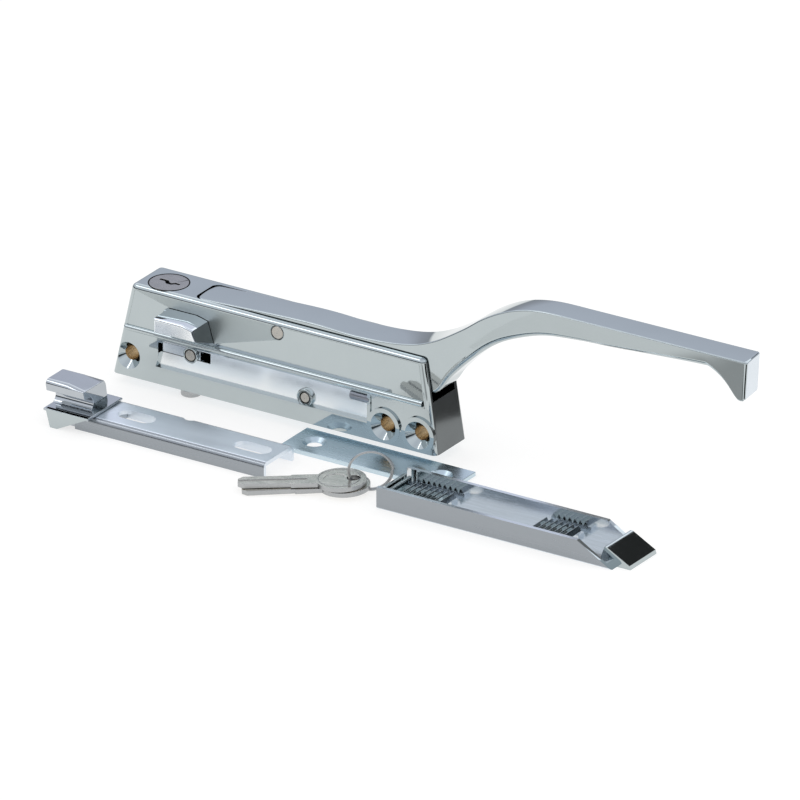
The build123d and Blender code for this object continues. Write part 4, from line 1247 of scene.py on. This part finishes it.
@dataclass(frozen=True)
class StruckLine:
    """A thin closed line round a face."""

    name: str
    body: str
    slot: Slot
    radius: float
    wire: float
    finish: MetalFinish

    def build(self, place: Matrix) -> None:
        """Lays the line at the face's middle and turn."""
        line = Coil(self.name, self.radius, self.wire, 1, 0.0, place, self.finish, steps=96, sides=8)
        ride(line.build(), self.body, self.slot)


@dataclass
class CamLock:
    """Lock with its turning plug, tube, cam and clip."""

    middle: Point = (20.0, 9.7, 38.52)
    seat: tuple[float, float] = (7.98, 0.2)
    wall_tilt: float = 0.5

    def build(self) -> None:
        """Makes the lock's pieces; its face carries no lettering."""
        # The lock's side wall takes the near-black painted shade of the gap round the lock.
        wall = FacePaint(GAP_SHADE, lambda mids, ways: np.abs(ways[:, 2]) < self.wall_tilt)
        WorkedPiece("lock_body", "latch_body", Slot.PIN, LOCK_FACE, paints=(wall,)).build()
        WorkedPiece("lock_clip", "latch_body", Slot.SPRING, SPRING_WIRE, 0.12).build()
        WorkedPiece("lock_plug", "plug_body", Slot.NICKEL, LOCK_FACE, 0.15).build()
        WorkedPiece("lock_cam", "plug_body", Slot.PIN, STAMPED, 0.2).build()
        # A near-black line round the lock's seat: painted shadow of the gap between lock and housing.
        seat = StruckLine("lock_seat_shadow_line", "latch_body", Slot.PIN, *self.seat, GAP_SHADE)
        seat.build(Matrix.Translation(row(*self.middle)))


@dataclass
class HookCasting:
    """Cast hook strike: a rounded block with a throat, on a ledge with a skirt."""

    base: Point = (0.8, -49.0, 3.5)
    length: float = 17.2
    flat: float = 9.6
    fall: float = 1.8
    toe: Spot = (7.0, 0.0)
    throat: tuple[Spot, Spot] = ((8.7, 3.5), (5.0, 5.9))
    lip: tuple[Spot, Spot] = ((2.4, 6.4), (1.8, 8.9))
    brow: tuple[Spot, Spot] = ((2.3, 10.4), (3.8, 11.1))
    crest: Spot = (13.4, 11.1)
    back: tuple[Spot, Spot] = ((16.6, 9.1), (18.0, 5.5))
    heel: Spot = (19.0, -0.4)
    block_edge: float = 0.75
    skirt: tuple[Spot, ...] = ((1.0, 0.0), (3.0, -7.5), (6.2, -7.5), (20.4, -0.4), (20.4, 0.0))
    skirt_depth: tuple[float, float] = (0.02, 2.0)
    skirt_edge: float = 0.35
    ledge: tuple[Point, Point] = ((0.05, 0.05, -1.05), (20.4, 24.4, 0.0))
    ledge_edge: float = 0.3
    foot: tuple[Point, Point] = ((3.5, 5.75, -7.5), (11.75, 23.25, -0.2))
    tongue: tuple[Point, Point] = ((11.8, 5.75, -7.5), (23.2, 23.25, -2.95))
    foot_edge: float = 0.2

    def _block_spot(self, along: float, rise: float, at: float) -> Point:
        """Places an outline point of the block, its top falling beyond the flat.

        Args:
            along: The point's way across the bar.
            rise: Its height above the base.
            at: Its station along the bar.

        Returns:
            The point in the latch's millimetres.
        """
        x, y, z = self.base
        limit = self.crest[1] - self.fall * max(at - self.flat, 0.0) / (self.length + 1 - self.flat)
        return x + at, y + along, z + min(rise, limit)

    def _block(self) -> Mesh:
        """Makes the rounded block with its throat.

        Returns:
            The block's mesh.
        """
        profile = [self.heel, (self.toe[0], self.heel[1]), self.toe]
        profile += arc_through(self.toe, *self.throat)
        profile += self.lip
        profile += arc_through(self.lip[1], *self.brow, steps=6)
        profile.append(self.crest)
        profile += arc_through(self.crest, *self.back)
        stations = (0.0, self.flat, self.length)
        return Prism(profile, self._block_spot, stations, self.block_edge).mesh("hook_block", HOOK)

    def _slab(self, name: str, corners: tuple[Point, Point], edge: float) -> Mesh:
        """Makes one plain slab of the casting, its corners counted from the base."""
        low, high = (tuple(a + b for a, b in zip(self.base, corner)) for corner in corners)
        return box(name, low, high, edge, HOOK)

    def build(self) -> None:
        """Makes the casting."""
        x, y, z = self.base
        skirt = Prism(self.skirt, lambda a, b, at: (x + a, y + at, z + b), self.skirt_depth, self.skirt_edge)
        shells = (
            self._block(),
            self._slab("hook_ledge", self.ledge, self.ledge_edge),
            skirt.mesh("hook_skirt", CHROME),
            self._slab("hook_foot", self.foot, self.foot_edge),
            self._slab("hook_tongue", self.tongue, self.foot_edge),
        )
        ride(joined("hook_casting", shells), "hook_strike_body", Slot.CASTING, "strike_hook")


@dataclass
class Strikes:
    """Hook strike on its channel bar, serrated strike and shim plate."""

    pads: tuple[tuple[float, int], ...] = ((152.0, 9), (213.0, 7))
    pitch: float = 2.4
    tooth_base: float = -0.3
    tooth_height: float = 2.4
    pad_wide: float = 15.1
    channel_mid_y: float = -33.6
    lip_steps: tuple[tuple[float, float, float], ...] = ((149.75, 151.3, 3.9), (152.0, 153.5, 3.4))
    lip_edge: float = 0.45
    floor_z: float = -2.2
    # Faces before outer_y and sloping bends take painted shade; the tray below tray_z and inner walls beyond
    # inner_y take painted reflections.
    outer_y: float = -44.0
    inner_y: float = -30.0
    tray_z: float = -0.5
    nose_x: float = 250.0
    bend_range: tuple[float, float] = (0.08, 0.97)

    def _end_lip(self) -> None:
        """Makes the two tall ridges that close the channel's left end."""
        near, far = (self.channel_mid_y + side * self.pad_wide / 2 for side in (-1, 1))
        ridges = [
            box(f"lip_ridge_{index}", (x0, near, self.floor_z), (x1, far, top), self.lip_edge, CHROME)
            for index, (x0, x1, top) in enumerate(self.lip_steps)
        ]
        ride(joined("channel_end_lip", ridges), "serrated_strike_body", Slot.SHEET)

    def build(self) -> None:
        """Makes the loose plates and castings."""
        low, high = self.bend_range
        # Near walls and sloping bends take painted shade; the tray and far inner walls take painted reflection
        # streaks.
        side = FacePaint(SIDE_SHADE, lambda mids, ways: looks(ways, 1, -1) & (mids[:, 1] < self.outer_y))
        tray = FacePaint(TRAY_REFLECTION, lambda mids, ways: looks(ways, 2) & (mids[:, 2] < self.tray_z))
        inner = FacePaint(TRAY_REFLECTION, lambda mids, ways: looks(ways, 1, -1) & (mids[:, 1] > self.inner_y))
        nose = FacePaint(CHROME, lambda mids, ways: mids[:, 0] > self.nose_x)
        bend = FacePaint(SIDE_SHADE, lambda mids, ways: (ways[:, 2] > low) & (ways[:, 2] < high))
        # The bar's top takes the brightened finish as painted light.
        WorkedPiece("strike_bar", "hook_strike_body", Slot.SHEET, BAR_TOP_LIT, paints=(side, bend)).build()
        HookCasting().build()
        channel_paints = (side, tray, inner, nose)
        WorkedPiece("strike_channel", "serrated_strike_body", Slot.SHEET, SHEET, 0.22, channel_paints).build()
        for index, (x, count) in enumerate(self.pads):
            start = (x + self.pitch / 2, self.channel_mid_y, self.tooth_base)
            sizes = (count, self.pitch, self.pad_wide, self.tooth_height)
            teeth = ToothRow(f"serration_{index}", start, *sizes, CHROME).build()
            ride(teeth, "serrated_strike_body", Slot.SHEET)
        self._end_lip()
        WorkedPiece("shim_plate", "shim_body", Slot.ZINC, ZINC, 0.2).build()


@dataclass
class KeySet:
    """Two keys on a split ring of two turns."""

    ring_r: float = 8.6
    ring_start_r: float = 7.95
    ring_spread: float = 0.9
    ring_turns: float = 1.98
    ring_foot: Point = (139.2, -33.0, -3.35)
    ring_heading: float = 32.7
    ring_lean: float = 98.0
    wire_r: float = 0.34
    turn_gap: float = 0.42
    hole_offset: float = 4.8
    tilt: float = 2.2
    rise: float = 0.93
    # Faces steeper than this tilt take the darker steel of the key's rims as painted shade.
    rim_tilt: float = 0.5
    bow_line: tuple[float, float] = (8.1, 0.13)
    keys: tuple[tuple[str, Point, float], ...] = (
        ("key_a", (-0.009205, -0.016241, 0.00475), 31.4),
        ("key_b", (-0.007462, -0.015445, 0.0028), 34.4),
    )

    def _key(self, name: str, pivot: Point, heading: float) -> None:
        """Makes one key and the line struck round its bare bow.

        Args:
            name: Name of the key.
            pivot: Middle of its hole in the shared frame, in metres.
            heading: Degrees from x to the direction away from its blade.
        """
        # The key's steep rims take darker steel as painted shade.
        rim = FacePaint(STAMPED, lambda mids, ways: np.abs(ways[:, 2]) < self.rim_tilt)
        WorkedPiece(name, f"{name}_body", Slot.NICKEL, NICKEL, 0.18, (rim,)).build()
        place = Matrix.Translation(pivot) @ spin(heading, "Z") @ spin(-self.tilt, "Y")
        place = place @ Matrix.Translation((-self.hole_offset * MM, 0, self.rise * MM))
        StruckLine(f"{name}_bow_line", f"{name}_body", Slot.NICKEL, *self.bow_line, STAMPED).build(place)

    def build(self) -> None:
        """Makes the keys and winds the ring."""
        for name, pivot, heading in self.keys:
            self._key(name, pivot, heading)
        foot = Matrix.Translation(row(*self.ring_foot)) @ spin(self.ring_heading, "Z")
        up = Matrix.Translation((0, self.ring_r * MM, -self.turn_gap * MM))
        stand = foot @ spin(self.ring_lean, "X") @ up
        sizes = (self.ring_start_r, self.wire_r, self.ring_turns, 2 * self.turn_gap)
        ring = Coil("split_ring", *sizes, stand, STAMPED, steps=96, sides=14, spread_mm=self.ring_spread)
        ride(ring.build(), "ring_body", Slot.NICKEL, "key_ring")


def studio_sheet(name: str, corners: Sequence[Sequence[float]], material: Material) -> Piece:
    """Hangs or lays one flat sheet of the studio, which isn't part of the set.

    Args:
        name: Name of the sheet.
        corners: Its four corners in metres.
        material: Its material.

    Returns:
        The sheet.
    """
    mesh = bpy.data.meshes.new(name)
    mesh.from_pydata(corners, [], [(0, 1, 2, 3)])
    mesh.materials.append(material)
    sheet = link(name, mesh)
    return sheet


@dataclass(frozen=True)
class Card:
    """A studio card that only the chrome sees, in metres from its middle to its edges."""

    name: str
    middle: Point
    wide: Point
    tall: Point
    tones: tuple[float, float] = (0.012, 0.012)
    blend: tuple[float, float] = (0.0, 1.0)

    def build(self) -> None:
        """Hangs the card, its tone fading from left to right."""
        centre, side, rise = Vector(self.middle), Vector(self.wide), Vector(self.tall)
        corners = [centre - side - rise, centre + side - rise, centre + side + rise, centre - side + rise]
        cloth, graph = new_material(f"{self.name}_cloth")
        split = graph.add("SeparateXYZ", {0: graph.add("TexCoord").outputs["Object"]})
        left, width = self.middle[0] - self.wide[0], 2 * self.wide[0]
        ends = (left + width * self.blend[0], left + width * self.blend[1], *self.tones)
        fade = graph.remap(split.outputs["X"], ends, interpolation_type="SMOOTHSTEP")
        graph.shade(Roughness=1.0, Specular_IOR_Level=0.0, Base_Color=fade)
        card = studio_sheet(self.name, corners, cloth)
        card.visible_camera = False
        card.visible_diffuse = False
        card.visible_shadow = False


@dataclass
class Studio:
    """Pale table, soft lights, what the chrome mirrors, and the camera."""

    target: Point = (-0.0350, 0.0575, 0.004)
    right: Point = (0.8405, 0.5418, 0.0)
    up: Point = (-0.2204, 0.3419, 0.9135)
    distance: float = 14.0
    lens: float = 1650.6
    sensor: float = 36.0
    clip: tuple[float, float] = (0.1, 100.0)
    table_size: float = 3.0
    table_tone: float = 0.38
    table_glow: float = 0.68
    room_light: float = 0.95
    room_blend: float = 0.3
    lamp_place: Point = (-0.63, -0.45, 0.93)
    lamp_size: tuple[float, float] = (0.34, 0.22)
    lamp_power: float = 0.5
    cards: tuple[Card, ...] = (
        Card("black_flag", (0.129, 0.179, 0.165), (0.016, 0.0, 0.0), (0.0, -0.0115, 0.0139), (0.07, 0.07)),
        Card("side_card", (0.040, 0.072, 0.034), (0.033, -0.027, 0.0), (0.0, 0.0, 0.032), (0.34, 0.40)),
        Card(
            "grip_card", (0.035, -0.105, 0.002), (0.075, 0.0, 0.0), (0.0, 0.030, 0.0), (1.0, 0.50), (0.42, 0.62)
        ),
        Card("corner_card", (0.052, 0.008, 0.0015), (0.010, 0.0, 0.0), (0.0, 0.016, 0.0)),
        Card("tip_card", (0.245, -0.03, 0.002), (0.045, 0.0, 0.0), (0.0, 0.05, 0.0)),
    )
    front_bands: tuple[tuple[float, Colour], ...] = (
        (0.0, (1.0, 1.0, 1.0)), (0.49, (0.95, 0.96, 0.97)), (0.505, (0.05, 0.06, 0.07)),
        (0.60, (0.05, 0.06, 0.07)), (0.65, (0.75, 0.78, 0.84)), (0.76, (0.95, 0.98, 1.04)),
        (0.90, (0.90, 0.93, 1.00)), (1.0, (0.66, 0.69, 0.77)),
    )
    rear_bands: tuple[tuple[float, Colour], ...] = (
        (0.0, (1.0, 1.0, 1.0)), (0.49, (0.95, 0.96, 0.97)), (0.505, (0.34, 0.36, 0.40)),
        (0.56, (0.42, 0.44, 0.50)), (0.63, (0.62, 0.65, 0.75)), (0.75, (0.72, 0.75, 0.86)),
        (0.787, (0.74, 0.77, 0.87)), (0.794, (1.55, 1.60, 1.72)), (0.86, (1.2, 1.23, 1.30)),
        (1.0, (0.66, 0.69, 0.77)),
    )

    def _table(self) -> None:
        """Lays the pale table, which glows to the camera and to what mirrors it."""
        half = self.table_size / 2
        material, graph = new_material("pale_table")
        nodes = graph.tree.nodes
        nodes.remove(nodes["Principled BSDF"])
        rays = graph.add("LightPath").outputs
        seen: object = rays["Is Camera Ray"]
        for kind in ("Is Glossy Ray", "Is Transmission Ray"):
            seen = graph.add("Math", {0: seen, 1: rays[kind]}, operation="MAXIMUM")
        level = graph.add("Math", {0: seen, 1: self.table_glow}, operation="MULTIPLY")
        paper = graph.add("BsdfDiffuse", {"Color": (*[self.table_tone] * 3, 1)})
        both = graph.add("AddShader", {0: paper, 1: graph.add("Emission", {"Strength": level})})
        graph.feed(nodes["Material Output"].inputs["Surface"], both)
        corners = [(-half, -half, 0), (half, -half, 0), (half, half, 0), (-half, half, 0)]
        studio_sheet("table", corners, material)

    def _bands(self, graph: Graph) -> Node:
        """Adds the graded bands that the chrome mirrors, one set in front and one behind.

        Args:
            graph: The world's graph.

        Returns:
            The node of the room's colour.
        """
        way = graph.add("SeparateXYZ", {0: graph.add("TexCoord").outputs["Generated"]}).outputs
        height = graph.remap(way["Z"], (-1.0, 1.0))
        ends = (-self.room_blend, self.room_blend)
        side = graph.remap(way["Y"], ends, interpolation_type="SMOOTHSTEP")
        room = graph.add("Mix", {"Factor": side}, data_type="RGBA")
        for label, stops in (("A", self.front_bands), ("B", self.rear_bands)):
            bands = graph.add("ValToRGB", {"Fac": height})
            ramp = bands.color_ramp
            while len(ramp.elements) < len(stops):
                ramp.elements.new(0.5)
            for element, (spot, colour) in zip(ramp.elements, stops):
                element.position = spot
                element.color = (*colour, 1.0)
            graph.feed(room.inputs[label], bands)
        return room

    def _world(self) -> None:
        """Sets the room: white to the camera, plain light, and graded bands for the chrome."""
        world = bpy.data.worlds.new("studio_room")
        bpy.context.scene.world = world
        world.use_nodes = True
        graph = Graph(world.node_tree)
        graph.tree.nodes.clear()
        rays = graph.add("LightPath").outputs
        shown = graph.add("Background", {"Color": WHITE, "Strength": self.room_light})
        for kind, colour in (("Is Glossy Ray", self._bands(graph)), ("Is Camera Ray", WHITE)):
            other = graph.add("Background", {"Color": colour})
            shown = graph.add("MixShader", {"Fac": rays[kind], 1: shown, 2: other})
        graph.add("OutputWorld", {"Surface": shown})

    def _lamp(self) -> None:
        """Hangs the soft box that points at the set."""
        lamp = bpy.data.lights.new("high_soft_box", "AREA")
        lamp.shape = "RECTANGLE"
        lamp.size, lamp.size_y = self.lamp_size
        lamp.energy = self.lamp_power
        thing = link("high_soft_box", lamp)
        thing.location = self.lamp_place
        thing.rotation_euler = (-Vector(self.lamp_place)).to_track_quat("-Z", "Y").to_euler()

    def _camera(self) -> None:
        """Sets up the camera at the photograph's angle."""
        data = bpy.data.cameras.new("camera")
        data.lens = self.lens
        data.sensor_width = self.sensor
        data.clip_start, data.clip_end = self.clip
        camera = link("camera", data)
        right, up = Vector(self.right).normalized(), Vector(self.up).normalized()
        back = right.cross(up)
        turn = Matrix((right, up, back)).transposed().to_4x4()
        camera.matrix_world = Matrix.Translation(Vector(self.target) + back * self.distance) @ turn
        bpy.context.scene.camera = camera

    def build(self) -> None:
        """Sets the whole studio."""
        self._table()
        self._world()
        self._lamp()
        for card in self.cards:
            card.build()
        self._camera()
        bpy.context.scene.view_settings.view_transform = "Standard"


def main() -> None:
    """Builds every sub-assembly in order and sets the studio."""
    logging.basicConfig(level=logging.INFO, format="%(name)s: %(message)s")
    for part in (Housing(), PullHandle(), BoltTrain(), CamLock(), Strikes(), KeySet()):
        part.build()
        LOG.info("%s is dressed", type(part).__name__)
    Studio().build()


if __name__ == "__main__":
    main()
